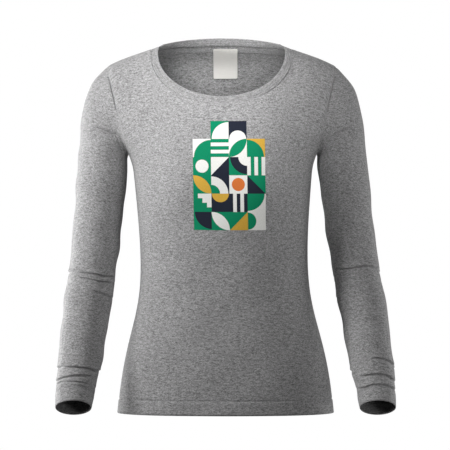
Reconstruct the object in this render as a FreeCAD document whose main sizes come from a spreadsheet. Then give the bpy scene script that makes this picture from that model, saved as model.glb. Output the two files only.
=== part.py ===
"""Women's fitted long-sleeved jersey top, cut and sewn, at its real size in millimetres.

The top hangs as it is worn. +Z is up, the chest faces -Y, and +X is the wearer's left side.
The origin lies midway between the two high shoulder points, where the neckband's free
edge crosses the shoulders. Every drop is measured down from there.
"""

import FreeCAD, Part
import math
import os

import Sketcher

from FreeCAD import Placement, Rotation, Vector

SIZES = {
    # Cloth, seams and hems
    "cloth": 0.8,
    "rib": 1.6,
    "ply_gap": 0.3,
    "seam_gap": 0.4,
    "seam_allowance": 7.0,
    "cut_overrun": 12.0,
    "hem_depth": 25.0,
    "cuff_depth": 29.0,
    # Neck tape and label
    "tape_width": 9.0,
    "tape_thickness": 0.6,
    "label_width": 42.0,
    "label_height": 51.0,
    "label_thickness": 0.4,
    "label_corner": 1.5,
    "label_drop": 0.0,
    # Printed area on the chest
    "print_width": 120.0,
    "print_height": 182.0,
    "print_drop": 130.0,
    "print_shift": 6.0,
    "print_thickness": 0.3,
    # Neckline as seen from the front, at the band's seam and at its free edge
    "scoop_centre": 12.0,
    "neck_front_drop": 101.0,
    "neck_back_rise": 3.0,
    "neck_back_centre": 16.0,
    "collar_front_drop": 87.6,
    "collar_back_rise": 17.0,
    "collar_back_centre": 6.0,
    # Bust: where its two points lie and how widely each spreads
    "bust_point": 84.0,
    "bust_spread": 46.0,
    # Torso levels: drop, half width, and how far front and back stand out from the seams
    "crown_drop": -20.0,
    "crown_half_width": 86.0,
    "crown_front": 32.0,
    "crown_back": 50.0,
    "collar_drop": 0.0,
    "collar_half_width": 106.1,
    "collar_front": 40.0,
    "collar_back": 57.5,
    "neck_drop": 5.4,
    "neck_half_width": 120.2,
    "neck_front": 43.0,
    "neck_back": 61.0,
    "slope_drop": 19.0,
    "slope_half_width": 159.5,
    "slope_front": 50.0,
    "slope_back": 72.5,
    "tip_drop": 36.0,
    "tip_half_width": 195.0,
    "tip_front": 57.5,
    "tip_back": 82.5,
    "blade_drop": 62.0,
    "blade_half_width": 214.0,
    "blade_front": 68.0,
    "blade_back": 92.0,
    "chest_drop": 110.0,
    "chest_half_width": 211.0,
    "chest_front": 84.0,
    "chest_back": 98.0,
    "chest_lobe": 2.0,
    "pit_drop": 150.0,
    "pit_half_width": 186.0,
    "pit_front": 99.0,
    "pit_back": 98.0,
    "pit_lobe": 5.0,
    "underarm_drop": 184.0,
    "underarm_half_width": 160.5,
    "underarm_front": 109.0,
    "underarm_back": 95.0,
    "underarm_lobe": 9.0,
    "bust_drop": 225.0,
    "bust_half_width": 150.5,
    "bust_front": 114.0,
    "bust_back": 88.0,
    "bust_lobe": 11.0,
    "ribs_drop": 290.0,
    "ribs_half_width": 145.0,
    "ribs_front": 108.0,
    "ribs_back": 79.0,
    "ribs_lobe": 3.0,
    "waist_drop": 362.0,
    "waist_half_width": 142.0,
    "waist_front": 98.0,
    "waist_back": 76.0,
    "flank_drop": 430.0,
    "flank_half_width": 147.0,
    "flank_front": 96.0,
    "flank_back": 86.0,
    "hip_drop": 510.0,
    "hip_half_width": 166.0,
    "hip_front": 101.0,
    "hip_back": 101.0,
    "seat_drop": 570.0,
    "seat_half_width": 177.5,
    "seat_front": 106.0,
    "seat_back": 109.0,
    "hem_drop": 621.0,
    "hem_half_width": 183.5,
    "hem_front": 108.0,
    "hem_back": 111.0,
    # Sleeve rings: outer and inner point as seen from the front, forward place and depth
    "crease_outer": 238.0,
    "crease_outer_drop": 120.0,
    "crease_inner": 161.5,
    "crease_inner_drop": 200.0,
    "crease_forward": -6.0,
    "crease_half_depth": 50.0,
    "cap_outer": 223.0,
    "cap_outer_drop": 67.0,
    "cap_inner": 161.0,
    "cap_inner_drop": 191.0,
    "cap_forward": -5.0,
    "cap_half_depth": 50.0,
    "bicep_outer": 247.0,
    "bicep_outer_drop": 203.0,
    "bicep_inner": 164.5,
    "bicep_inner_drop": 232.0,
    "bicep_forward": -8.0,
    "bicep_half_depth": 49.0,
    "arm_outer": 256.0,
    "arm_outer_drop": 307.0,
    "arm_inner": 175.0,
    "arm_inner_drop": 318.0,
    "arm_forward": -8.0,
    "arm_half_depth": 46.0,
    "arm_lean": 2.0,
    "elbow_outer": 265.0,
    "elbow_outer_drop": 385.0,
    "elbow_inner": 186.0,
    "elbow_inner_drop": 396.0,
    "elbow_forward": 2.0,
    "elbow_half_depth": 44.0,
    "elbow_lean": 12.0,
    "forearm_outer": 275.0,
    "forearm_outer_drop": 450.5,
    "forearm_inner": 196.0,
    "forearm_inner_drop": 461.5,
    "forearm_forward": 20.0,
    "forearm_half_depth": 42.0,
    "forearm_lean": 21.0,
    "shank_outer": 282.0,
    "shank_outer_drop": 537.5,
    "shank_inner": 211.0,
    "shank_inner_drop": 548.0,
    "shank_forward": 57.0,
    "shank_half_depth": 37.0,
    "shank_lean": 23.0,
    "wrist_outer": 285.0,
    "wrist_outer_drop": 574.0,
    "wrist_inner": 218.5,
    "wrist_inner_drop": 584.0,
    "wrist_forward": 73.0,
    "wrist_half_depth": 33.0,
    "wrist_lean": 23.0,
    "opening_outer": 286.5,
    "opening_outer_drop": 604.0,
    "opening_inner": 224.0,
    "opening_inner_drop": 612.5,
    "opening_forward": 86.5,
    "opening_half_depth": 31.0,
    "opening_lean": 23.0,
}

TORSO_LEVELS = [name[: -len("_back")] for name in SIZES if name.endswith("_back")]
SLEEVE_RINGS = ["cap", "crease", "bicep", "arm", "elbow", "forearm", "shank", "wrist", "opening"]
FRONT = -1
BACK = 1
HALF_TURN = math.pi

# Flats along each arc, and how much fuller than an ellipse the worn torso is
TORSO_FLATS = 20
SLEEVE_FLATS = 20
TORSO_POWER = 2.3

doc = FreeCAD.newDocument("JerseyTop")
sheet = doc.addObject("Spreadsheet::Sheet", "Sizes")
for row, (alias, length) in enumerate(SIZES.items(), start=1):
    sheet.set(f"A{row}", alias)
    sheet.set(f"B{row}", str(length))
    sheet.setAlias(f"B{row}", alias)
doc.recompute()


def size(alias):
    """The value of one named cell, or zero where the sheet has no such cell."""
    return float(getattr(sheet, alias, 0))


def words(expression):
    """An expression with each [name] read from the sheet."""
    return expression.replace("[", "Sizes.").replace("]", "")


def add(kind, name, links=None, **sizes):
    """One object of the document, with its links set and its sizes bound to the sheet."""
    piece = doc.addObject(kind, name)
    for key, value in (links or {}).items():
        setattr(piece, key, value)
    for key, expression in sizes.items():
        piece.setExpression(key, words(expression))
    return piece


def lofted(name, wires):
    """A solid with straight sides between neighbouring closed wires."""
    sections = []
    for index, wire in enumerate(wires):
        section = add("Part::Feature", f"{name}_section_{index}")
        section.Shape = wire
        sections.append(section)
    return add("Part::Loft", name, {"Sections": sections, "Solid": True, "Ruled": True})


def cut(name, base, tool):
    """The base with the tool taken away."""
    return add("Part::Cut", name, {"Base": base, "Tool": tool})


def common(name, base, tool):
    """What the base and the tool share."""
    return add("Part::Common", name, {"Base": base, "Tool": tool})


def fused(name, shapes):
    """Several shapes joined into one."""
    return add("Part::MultiFuse", name, {"Shapes": shapes, "Refine": True})


def mirrored(name, source):
    """The same piece on the wearer's right side."""
    return add("Part::Mirroring", name, {"Source": source, "Normal": Vector(1, 0, 0)})


def block(name, x, y, z):
    """A box that spans the named reaches along each axis."""
    box = add(
        "Part::Box",
        name,
        Length=f"({x[1]}) - ({x[0]})",
        Width=f"({y[1]}) - ({y[0]})",
        Height=f"({z[1]}) - ({z[0]})",
    )
    for axis, reach in zip("xyz", (x, y, z)):
        box.setExpression(f"Placement.Base.{axis}", words(reach[0]))
    return box


def oval_prism(name, half_width, half_height, level, forwards, backwards):
    """An oval as seen from the front, run through the chest or the back."""
    oval = add("Part::Ellipse", f"{name}_line", MajorRadius=half_width, MinorRadius=half_height)
    oval.Placement = Placement(Vector(), Rotation(Vector(0, 0, 1), Vector(0, -1, 0)))
    oval.setExpression("Placement.Base.z", words(level))
    links = {"Base": oval, "DirMode": "Custom", "Dir": Vector(0, -1, 0), "Solid": True}
    return add("Part::Extrusion", name, links, LengthFwd=forwards, LengthRev=backwards)


class TorsoLevel:
    """One level of the worn torso, with its arcs from side seam to side seam."""

    def __init__(self, drop, half_width, front, back, lobe):
        self.drop = drop
        self.half_width = half_width
        self.depth = {FRONT: front, BACK: back}
        self.lobe = lobe

    @classmethod
    def named(cls, name):
        """The level whose sizes the sheet holds under one name."""
        return cls(*(size(f"{name}_{part}") for part in ("drop", "half_width", "front", "back", "lobe")))

    def towards(self, other, share):
        """The level a share of the way down to the other one."""
        return TorsoLevel(*(a + (b - a) * share for a, b in zip(self.sizes(), other.sizes())))

    def sizes(self):
        """The level's sizes in the order in which a level is made."""
        return self.drop, self.half_width, self.depth[FRONT], self.depth[BACK], self.lobe

    def point(self, side, turn, inset):
        """A point of the front or back arc, moved into the torso by the inset."""
        cosine = math.cos(turn)
        x = (self.half_width - inset) * math.copysign(abs(cosine) ** (2 / TORSO_POWER), cosine)
        depth = (self.depth[side] - inset) * abs(math.sin(turn)) ** (2 / TORSO_POWER)
        if side == FRONT:
            away = (abs(x) - size("bust_point")) / size("bust_spread")
            depth += self.lobe * math.exp(-(away**2)) * math.sin(turn)
        return Vector(x, side * depth, -self.drop)

    def depth_at(self, side, x):
        """How far the arc stands out from the seams at one place across the torso."""
        corners = self.arc(side, 0)
        for start, end in zip(corners, corners[1:]):
            if end.x <= x <= start.x:
                share = (start.x - x) / (start.x - end.x)
                return abs((start + (end - start) * share).y)
        return 0

    def arc(self, side, inset, lowered=True):
        """The points of an arc. The inset also lowers it, which keeps a sloped ply whole."""
        fall = Vector(0, 0, -inset) if lowered else Vector()
        turns = [HALF_TURN * step / TORSO_FLATS for step in range(TORSO_FLATS + 1)]
        return [self.point(side, turn, inset) + fall for turn in turns]


def torso_ply(name, side, levels, near, far):
    """A ply of cloth between two insets, through the levels."""
    wires = []
    for index, level in enumerate(levels):
        lowered = 0 < index < len(levels) - 1
        outline = level.arc(side, near, lowered) + level.arc(side, far, lowered)[::-1]
        wires.append(Part.makePolygon(outline + outline[:1]))
    return lofted(name, wires)


cloth = size("cloth")
ply_gap = size("ply_gap")
torso_levels = [TorsoLevel.named(name) for name in TORSO_LEVELS]
panel_levels = torso_levels[TORSO_LEVELS.index("neck") :]


def level_at(drop):
    """The torso's level at any drop between the crown and the hem."""
    for upper, lower in zip(torso_levels, torso_levels[1:]):
        if drop <= lower.drop:
            return upper.towards(lower, (drop - upper.drop) / (lower.drop - upper.drop))
    return torso_levels[-1]


def levels_between(top, bottom):
    """The panels' levels from one drop down to another."""
    inner = [level for level in panel_levels if top < level.drop < bottom]
    return [level_at(top)] + inner + [level_at(bottom)]

# Reaches of the boxes and prisms that cut and keep cloth
DEEP = "([bust_front] + [hem_back])"
WIDE = "([blade_half_width] + [cut_overrun])"

# Heights of the neckline's ovals above and below their own centres
SEAM_DEPTH = "([neck_front_drop] - [scoop_centre])"
EDGE_DEPTH = "([collar_front_drop] - [scoop_centre])"
SEAM_RISE = "([neck_back_rise] + [neck_back_centre])"
EDGE_RISE = "([collar_back_rise] + [collar_back_centre])"

# Armhole seam: flat, from the shoulder tip down to the underarm
tip = Vector(size("tip_half_width"), 0, -size("tip_drop"))
underarm = Vector(size("underarm_half_width"), 0, -size("underarm_drop"))
armhole_line = tip - underarm
armhole_out = Vector(armhole_line.z, 0, -armhole_line.x).normalize()
armhole_lean = math.degrees(math.atan2(armhole_line.x, armhole_line.z))
armhole_left = add(
    "Part::Box",
    "armhole_left",
    Length="[blade_half_width]",
    Width=f"2 * {DEEP}",
    Height="[underarm_drop] - [tip_drop] + [cut_overrun]",
)
armhole_corner = underarm - Vector(0, size("bust_front") + size("hem_back"), 0)
armhole_left.Placement = Placement(armhole_corner, Rotation(Vector(0, 1, 0), armhole_lean))
armhole_right = mirrored("armhole_right", armhole_left)

# Front neckline: the oval of the band's seam and the oval of its free edge
seam_scoop = oval_prism(
    "seam_scoop",
    f"[neck_half_width] / sqrt(1 - (([scoop_centre] - [neck_drop]) / {SEAM_DEPTH}) ^ 2)",
    SEAM_DEPTH,
    "-[scoop_centre]",
    DEEP,
    "[cut_overrun]",
)
edge_scoop = oval_prism(
    "edge_scoop",
    f"[collar_half_width] / sqrt(1 - (([scoop_centre] - [collar_drop]) / {EDGE_DEPTH}) ^ 2)",
    EDGE_DEPTH,
    "-[scoop_centre]",
    DEEP,
    "[cut_overrun]",
)

# Back neckline: each curve rises from the shoulders to the middle of the back
seam_rise = oval_prism(
    "seam_rise",
    f"[neck_half_width] / sqrt(1 - (([neck_back_centre] - [neck_drop]) / {SEAM_RISE}) ^ 2)",
    SEAM_RISE,
    "-[neck_back_centre]",
    "[cut_overrun]",
    DEEP,
)
edge_rise = oval_prism(
    "edge_rise",
    f"[collar_half_width] / sqrt(1 - (([collar_back_centre] - [collar_drop]) / {EDGE_RISE}) ^ 2)",
    EDGE_RISE,
    "-[collar_back_centre]",
    "[cut_overrun]",
    DEEP,
)
under_seam = block(
    "under_seam",
    (f"-{WIDE}", WIDE),
    ("-[cut_overrun]", DEEP),
    ("-[hem_drop] - [cut_overrun]", "-[neck_drop]"),
)
under_edge = block(
    "under_edge",
    (f"-{WIDE}", WIDE),
    ("-[cut_overrun]", DEEP),
    ("-[neck_drop]", "-[collar_drop]"),
)
back_outline = fused("back_outline", [under_seam, seam_rise])
band_outline = fused("band_outline", [under_edge, edge_rise])

# Front and back panels
front_ply = torso_ply("front_ply", FRONT, panel_levels, 0, cloth)
front_scooped = cut("front_scooped", front_ply, seam_scoop)
front_open = cut("front_open", front_scooped, armhole_left)
front_panel = cut("front_panel", front_open, armhole_right)
back_ply = torso_ply("back_ply", BACK, torso_levels, 0, cloth)
back_under_seam = common("back_under_seam", back_ply, back_outline)
back_open = cut("back_open", back_under_seam, armhole_left)
back_panel = cut("back_panel", back_open, armhole_right)

# Neck tape under the back neck seam, inside the back panel
tape_far = cloth + ply_gap + size("tape_thickness")
tape_ply = torso_ply("tape_ply", BACK, torso_levels[:5], cloth + ply_gap, tape_far)
tape_reach = block(
    "tape_reach",
    ("-[neck_half_width]", "[neck_half_width]"),
    ("[ply_gap]", DEEP),
    ("-[neck_drop] - [tape_width]", "[cut_overrun]"),
)
tape_strip = common("tape_strip", tape_ply, tape_reach)
tape_under_seam = common("tape_under_seam", tape_strip, back_outline)
below_tape = oval_prism(
    "below_tape",
    f"[neck_half_width] / sqrt(1 - (([neck_back_centre] - [neck_drop]) / {SEAM_RISE}) ^ 2)",
    SEAM_RISE,
    "-[neck_back_centre] - [tape_width]",
    "[cut_overrun]",
    DEEP,
)
neck_tape = cut("neck_tape", tape_under_seam, below_tape)

# Neckband: doubled rib that carries on the line of the panels, closed in a ring
front_rib = torso_ply("front_rib", FRONT, torso_levels[:8], 0, size("rib"))
front_rib_inside = common("front_rib_inside", front_rib, seam_scoop)
front_band = cut("front_band", front_rib_inside, edge_scoop)
back_rib = torso_ply("back_rib", BACK, torso_levels[:4], 0, size("rib"))
back_rib_inside = common("back_rib_inside", back_rib, band_outline)
back_band = cut("back_band", back_rib_inside, back_outline)
neckband = fused("neckband", [front_band, back_band])

# Turned-up bottom hem, inside both panels
hem_levels = levels_between(size("hem_drop") - size("hem_depth"), size("hem_drop"))
hem_near = cloth + ply_gap
front_hem = torso_ply("front_hem", FRONT, hem_levels, hem_near, hem_near + cloth)
back_hem = torso_ply("back_hem", BACK, hem_levels, hem_near, hem_near + cloth)
bottom_hem = fused("bottom_hem", [front_hem, back_hem])

# Seam allowances inside the side seams and the shoulder seams, pressed to the back
allowance_near = cloth + ply_gap
allowance_ply = torso_ply(
    "allowance_ply", BACK, panel_levels, allowance_near, allowance_near + 2 * cloth
)
side_reach = block(
    "side_reach",
    ("[cut_overrun]", WIDE),
    ("[ply_gap]", "[seam_allowance]"),
    ("-[hem_drop] + [hem_depth] + [ply_gap]", "-[underarm_drop] - [seam_allowance]"),
)
side_allowance_left = common("side_allowance_left", allowance_ply, side_reach)
side_allowance_right = mirrored("side_allowance_right", side_allowance_left)
shoulder_reach = block(
    "shoulder_reach",
    ("[neck_half_width] + [ply_gap]", "[tip_half_width] - [seam_allowance]"),
    ("[ply_gap]", "[seam_allowance]"),
    ("-[tip_drop] - [cut_overrun]", "-[crown_drop]"),
)
shoulder_allowance_left = common("shoulder_allowance_left", allowance_ply, shoulder_reach)
shoulder_allowance_right = mirrored("shoulder_allowance_right", shoulder_allowance_left)

# Printed area on the chest
print_levels = levels_between(size("print_drop"), size("print_drop") + size("print_height"))
print_near = -ply_gap - size("print_thickness")
print_ply = torso_ply("print_ply", FRONT, print_levels, print_near, -ply_gap)
print_reach = block(
    "print_reach",
    ("[print_shift] - [print_width] / 2", "[print_shift] + [print_width] / 2"),
    (f"-{DEEP}", "-[cut_overrun]"),
    ("-[hem_drop]", "-[neck_drop]"),
)
chest_print = common("chest_print", print_ply, print_reach)


class SleeveRing:
    """A flat oval across the sleeve, with the two directions of its plane."""

    def __init__(self, outer, inner, forward, half_depth, lean=0.0):
        self.places = (outer, inner, forward, half_depth, lean)
        self.across = (outer - inner).normalize()
        down = Vector(self.across.z, 0, -self.across.x)
        tilt = math.radians(lean)
        self.deep = Vector(0, math.cos(tilt), 0) + down * math.sin(tilt)
        self.centre = (outer + inner) / 2 - Vector(0, forward, 0)
        self.half_width = (outer - inner).Length / 2
        self.half_depth = half_depth

    @classmethod
    def named(cls, name):
        """The ring whose sizes the sheet holds under one name."""
        outer = Vector(size(f"{name}_outer"), 0, -size(f"{name}_outer_drop"))
        inner = Vector(size(f"{name}_inner"), 0, -size(f"{name}_inner_drop"))
        return cls(outer, inner, *(size(f"{name}_{part}") for part in ("forward", "half_depth", "lean")))

    def towards(self, other, share):
        """The ring a share of the way along the sleeve to the other one."""
        return SleeveRing(*(a + (b - a) * share for a, b in zip(self.places, other.places)))

    def outline(self, inset):
        """The oval's corners, from the underarm seam, smaller all round by the inset."""
        corners = []
        for step in range(SLEEVE_FLATS):
            turn = 2 * HALF_TURN * step / SLEEVE_FLATS
            side_step = self.across * (self.half_width - inset) * math.cos(turn)
            deep_step = self.deep * (self.half_depth - inset) * math.sin(turn)
            corners.append(self.centre - side_step - deep_step)
        return corners


def flat_face(corners):
    """A flat face with the given corners."""
    return Part.Face(Part.makePolygon([*corners, corners[0]]))


def faceted(name, outlines):
    """A solid with two flat triangles at each step round neighbouring outlines."""
    faces = [flat_face(outlines[0]), flat_face(outlines[-1])]
    for upper, lower in zip(outlines, outlines[1:]):
        for place in range(len(upper)):
            faces.append(flat_face((upper[place - 1], upper[place], lower[place])))
            faces.append(flat_face((upper[place - 1], lower[place], lower[place - 1])))
    shell = Part.makeShell(faces)
    shell.sewShape()
    solid = add("Part::Feature", name)
    solid.Shape = Part.makeSolid(shell)
    return solid


def tube(name, rings, near, far):
    """A ply of cloth between two insets, all round the arm through the rings."""
    outside = faceted(f"{name}_outside", [ring.outline(near) for ring in rings])
    inside = faceted(f"{name}_inside", [ring.outline(far) for ring in rings])
    return cut(name, outside, inside)


class ArmholeRing(SleeveRing):
    """The flat ring of the armhole seam, as deep at each place as the panels' own edges."""

    def outline(self, inset):
        """The seam's corners, from the underarm, smaller all round by the inset."""
        wide_share = (self.half_width - inset) / self.half_width
        deep_share = (self.half_depth - inset) / self.half_depth
        corners = []
        for step in range(SLEEVE_FLATS):
            turn = 2 * HALF_TURN * step / SLEEVE_FLATS
            side_step = self.across * self.half_width * math.cos(turn)
            place = self.centre - side_step
            side = FRONT if math.sin(turn) > 0 else BACK
            depth = level_at(-place.z).depth_at(side, place.x)
            deep_step = Vector(0, side * depth * deep_share, 0)
            corners.append(self.centre - side_step * wide_share + deep_step)
        return corners


# Sleeve: from the armhole seam over the cap, down the arm and forward along the forearm
seam_step = armhole_out * size("seam_gap")
cap_ring = SleeveRing.named("cap")
armhole_ring = ArmholeRing(tip + seam_step, underarm + seam_step, 0, cap_ring.half_depth)
sleeve_rings = [armhole_ring] + [SleeveRing.named(name) for name in SLEEVE_RINGS]
sleeve_left = tube("sleeve_left", sleeve_rings, 0, cloth)
sleeve_right = mirrored("sleeve_right", sleeve_left)

# Turned-up hem inside the sleeve's opening
wrist_ring, opening_ring = sleeve_rings[-2:]
cuff_share = size("cuff_depth") / (wrist_ring.centre - opening_ring.centre).Length
cuff_rings = [opening_ring.towards(wrist_ring, cuff_share), opening_ring]
cuff_hem_left = tube("cuff_hem_left", cuff_rings, hem_near, hem_near + cloth)
cuff_hem_right = mirrored("cuff_hem_right", cuff_hem_left)


def label_body(name):
    """A woven label: a small rectangle of cloth with eased corners, hung flat."""
    body = doc.addObject("PartDesign::Body", name)
    plane = next(item for item in body.Origin.OriginFeatures if item.Role == "XZ_Plane")
    sketch = body.newObject("Sketcher::SketchObject", f"{name}_outline")
    sketch.AttachmentSupport = [(plane, "")]
    sketch.MapMode = "FlatFace"
    half_width = size("label_width") / 2
    height = size("label_height")
    corners = [(-half_width, 0), (half_width, 0), (half_width, -height), (-half_width, -height)]
    corners = [Vector(x, y, 0) for x, y in corners]
    for start, end in zip(corners, corners[1:] + corners[:1]):
        sketch.addGeometry(Part.LineSegment(start, end), False)
    for edge in range(4):
        sketch.addConstraint(Sketcher.Constraint("Coincident", edge, 2, (edge + 1) % 4, 1))
    for edge, word in enumerate(("Horizontal", "Vertical", "Horizontal", "Vertical")):
        sketch.addConstraint(Sketcher.Constraint(word, edge))
    sketch.addConstraint(Sketcher.Constraint("Symmetric", 0, 1, 0, 2, -1, 1))
    wide = sketch.addConstraint(Sketcher.Constraint("DistanceX", 0, 1, 0, 2, 2 * half_width))
    tall = sketch.addConstraint(Sketcher.Constraint("DistanceY", 1, 2, 1, 1, height))
    sketch.setExpression(f"Constraints[{wide}]", words("[label_width]"))
    sketch.setExpression(f"Constraints[{tall}]", words("[label_height]"))
    pad = body.newObject("PartDesign::Pad", f"{name}_cloth")
    pad.Profile = sketch
    pad.setExpression("Length", words("[label_thickness]"))
    doc.recompute()
    thin = size("label_thickness") / 2
    corner_edges = []
    for index, edge in enumerate(pad.Shape.Edges, start=1):
        along_y = abs(edge.Vertexes[0].Y - edge.Vertexes[-1].Y)
        if along_y > thin:
            corner_edges.append(f"Edge{index}")
    eased = body.newObject("PartDesign::Fillet", f"{name}_corners")
    eased.Base = (pad, corner_edges)
    eased.setExpression("Radius", words("[label_corner]"))
    return body


# Label: its back lies just clear of the tape, which comes nearest at the label's two sides
neck_label = label_body("neck_label")
label_level = level_at(size("label_drop") - tape_far)
label_back = label_level.depth_at(BACK, size("label_width") / 2) - tape_far - ply_gap
label_front = label_back - size("label_thickness")
neck_label.Placement.Base = Vector(0, label_front, -size("label_drop"))

PIECES = (
    front_panel,
    back_panel,
    sleeve_left,
    sleeve_right,
    neckband,
    neck_tape,
    neck_label,
    bottom_hem,
    cuff_hem_left,
    cuff_hem_right,
    side_allowance_left,
    side_allowance_right,
    shoulder_allowance_left,
    shoulder_allowance_right,
    chest_print,
)

doc.recompute()
for item in doc.Objects:
    if "Invalid" in item.State or "Error" in item.State:
        raise RuntimeError(f"{item.Name} did not recompute: {item.State}")
os.makedirs("parts", exist_ok=True)
for piece in PIECES:
    piece.Label = piece.Name
    shape = piece.Shape
    if shape.isNull() or not shape.isValid() or not shape.Solids:
        raise RuntimeError(f"{piece.Name} is not a sound solid")
for piece in PIECES:
    piece.Shape.exportStep(f"parts/{piece.Label}.step")
    print(piece.Label, len(piece.Shape.Solids), round(piece.Shape.Volume), piece.Shape.BoundBox)
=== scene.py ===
"""Looks of a women's fitted long-sleeved jersey top, shown as worn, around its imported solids.

Sizes are in millimetres and turn into metres where a mesh is made. +Z is up, the chest faces
-Y, and +X is the wearer's left side. Every drop is measured down from the high shoulder points.
"""

import logging
import math
from dataclasses import dataclass, field, fields
from enum import Enum
from typing import Iterable, Optional, Sequence, Union

import bmesh
import bpy
import numpy as np
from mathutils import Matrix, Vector

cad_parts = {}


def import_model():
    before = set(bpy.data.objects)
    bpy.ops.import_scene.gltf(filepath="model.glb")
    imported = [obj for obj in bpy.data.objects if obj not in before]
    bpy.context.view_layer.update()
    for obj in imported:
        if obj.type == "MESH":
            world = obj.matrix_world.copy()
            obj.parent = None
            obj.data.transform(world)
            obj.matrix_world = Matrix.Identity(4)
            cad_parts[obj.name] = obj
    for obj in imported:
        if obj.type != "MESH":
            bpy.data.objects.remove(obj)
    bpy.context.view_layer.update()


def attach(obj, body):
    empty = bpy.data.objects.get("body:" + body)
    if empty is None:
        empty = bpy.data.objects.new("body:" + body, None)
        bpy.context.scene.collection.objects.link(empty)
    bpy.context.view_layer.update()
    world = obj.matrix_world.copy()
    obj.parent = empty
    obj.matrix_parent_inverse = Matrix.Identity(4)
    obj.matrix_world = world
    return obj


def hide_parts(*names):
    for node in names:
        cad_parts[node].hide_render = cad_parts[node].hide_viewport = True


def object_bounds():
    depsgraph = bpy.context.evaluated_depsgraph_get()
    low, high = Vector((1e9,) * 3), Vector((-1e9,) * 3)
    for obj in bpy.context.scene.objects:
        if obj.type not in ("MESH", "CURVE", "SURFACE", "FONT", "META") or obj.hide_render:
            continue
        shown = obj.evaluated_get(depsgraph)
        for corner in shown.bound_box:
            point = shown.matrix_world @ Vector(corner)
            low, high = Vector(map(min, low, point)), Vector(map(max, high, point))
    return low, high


LOG = logging.getLogger("jersey_top")
MM = 0.001
BODY = "root"
PLY = 0.8
PLY_GAP = 0.3
HEM_SEAM = 597.5
FORM_SAMPLES = 4000
Grid = np.ndarray
Pair = tuple[float, float]
Colour = tuple[float, float, float]


class Side(Enum):
    """Which arc of the torso a panel follows. The value is the direction along Y."""

    FRONT = -1
    BACK = 1


class Hand(Enum):
    """Which of the wearer's arms a sleeve covers. The value is the direction along X."""

    LEFT = 1
    RIGHT = -1


class Seam(Enum):
    """Which seam an allowance belongs to. The value is where the allowance starts and ends."""

    SIDE = (191.0, 594.5)
    SHOULDER = (6.8, 33.0)


class SmoothCurve:
    """A curve through stations that is smooth in its slope and in its bend."""

    def __init__(self, stations: Sequence[float], values: Sequence[float]) -> None:
        """Solves for the bend at each station.

        Args:
            stations: Rising places along the curve.
            values: The curve's value at each of them.
        """
        self.at = np.asarray(stations, float)
        self.values = np.asarray(values, float)
        count = len(self.at)
        span = np.diff(self.at)
        rise = np.diff(self.values) / span
        system = np.eye(count)
        target = np.zeros(count)
        for k in range(1, count - 1):
            system[k, k - 1 : k + 2] = span[k - 1], 2 * (span[k - 1] + span[k]), span[k]
            target[k] = 6 * (rise[k] - rise[k - 1])
        self.bend = np.linalg.solve(system, target)

    def __call__(self, where: Grid) -> Grid:
        """Reads the curve, which keeps its end values past both ends.

        Args:
            where: Places along the curve.

        Returns:
            The curve's value at each place.
        """
        where = np.clip(where, self.at[0], self.at[-1])
        k = np.clip(np.searchsorted(self.at, where) - 1, 0, len(self.at) - 2)
        span = self.at[k + 1] - self.at[k]
        before = (self.at[k + 1] - where) / span
        after = 1 - before
        curved = (before**3 - before) * self.bend[k] + (after**3 - after) * self.bend[k + 1]
        return before * self.values[k] + after * self.values[k + 1] + curved * span**2 / 6


def smoothstep(low: float, high: float, value: Grid) -> Grid:
    """A soft step from nought to one between two values."""
    share = np.clip((np.asarray(value, float) - low) / (high - low), 0, 1)
    return share * share * (3 - 2 * share)


def bell(distance: Grid, width: float, power: int = 2) -> Grid:
    """A soft bump of height one round nought, squarer for a higher power."""
    return np.exp(-((distance / width) ** power))


def unit(vectors: Grid) -> Grid:
    """Vectors brought to a length of one."""
    return vectors / np.maximum(np.linalg.norm(vectors, axis=-1, keepdims=True), 1e-9)


def joined(grid: Grid, axis: int = 0) -> Grid:
    """A grid with its first row or column once more at the end."""
    return np.concatenate([grid, grid.take([0], axis)], axis)


def cells(grid: Grid) -> tuple[Grid, ...]:
    """The values at the four corners of each cell of a grid, in order round the cell."""
    return grid[:-1, :-1], grid[:-1, 1:], grid[1:, 1:], grid[1:, :-1]


def run_length(points: Grid, axis: int = 0) -> Grid:
    """How far along its line each point lies, down the rows or across the columns."""
    steps = np.linalg.norm(np.diff(points, axis=axis), axis=-1)
    return np.cumsum(np.insert(steps, 0, 0.0, axis=axis), axis=axis)


def evenly(points: Grid, count: int, others: Iterable[Grid] = ()) -> list[Grid]:
    """Resamples a line at even steps, with other values that go along it.

    Args:
        points: The dense line.
        count: How many samples to take.
        others: Further values at each dense point.

    Returns:
        The even points, followed by the other values at them.
    """
    length = run_length(points)
    wanted = np.linspace(0, length[-1], count)
    even = []
    for line in (points, *others):
        columns = line.reshape(len(line), -1)
        taken = np.stack([np.interp(wanted, length, column) for column in columns.T], axis=-1)
        even.append(taken.reshape((count, *line.shape[1:])))
    return even


def crowded(places: Grid, density: Grid, count: int) -> Grid:
    """Picks places that lie closer together where they are asked for.

    Args:
        places: Rising places to pick from.
        density: How densely they are wanted at each.
        count: How many to pick.

    Returns:
        The picked places.
    """
    share = np.cumsum(density)
    share = (share - share[0]) / (share[-1] - share[0])
    return np.interp(np.linspace(0, 1, count), share, places)


def grid_normals(points: Grid, closed: bool = False) -> Grid:
    """Directions square to a grid of points.

    Args:
        points: Rows by columns of places.
        closed: Whether the last column meets the first.

    Returns:
        One unit direction for each point.
    """
    down = np.gradient(points, axis=0)
    if closed:
        across = (np.roll(points, -1, axis=1) - np.roll(points, 1, axis=1)) / 2
    else:
        across = np.gradient(points, axis=1)
    return unit(np.cross(across, down))


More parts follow.
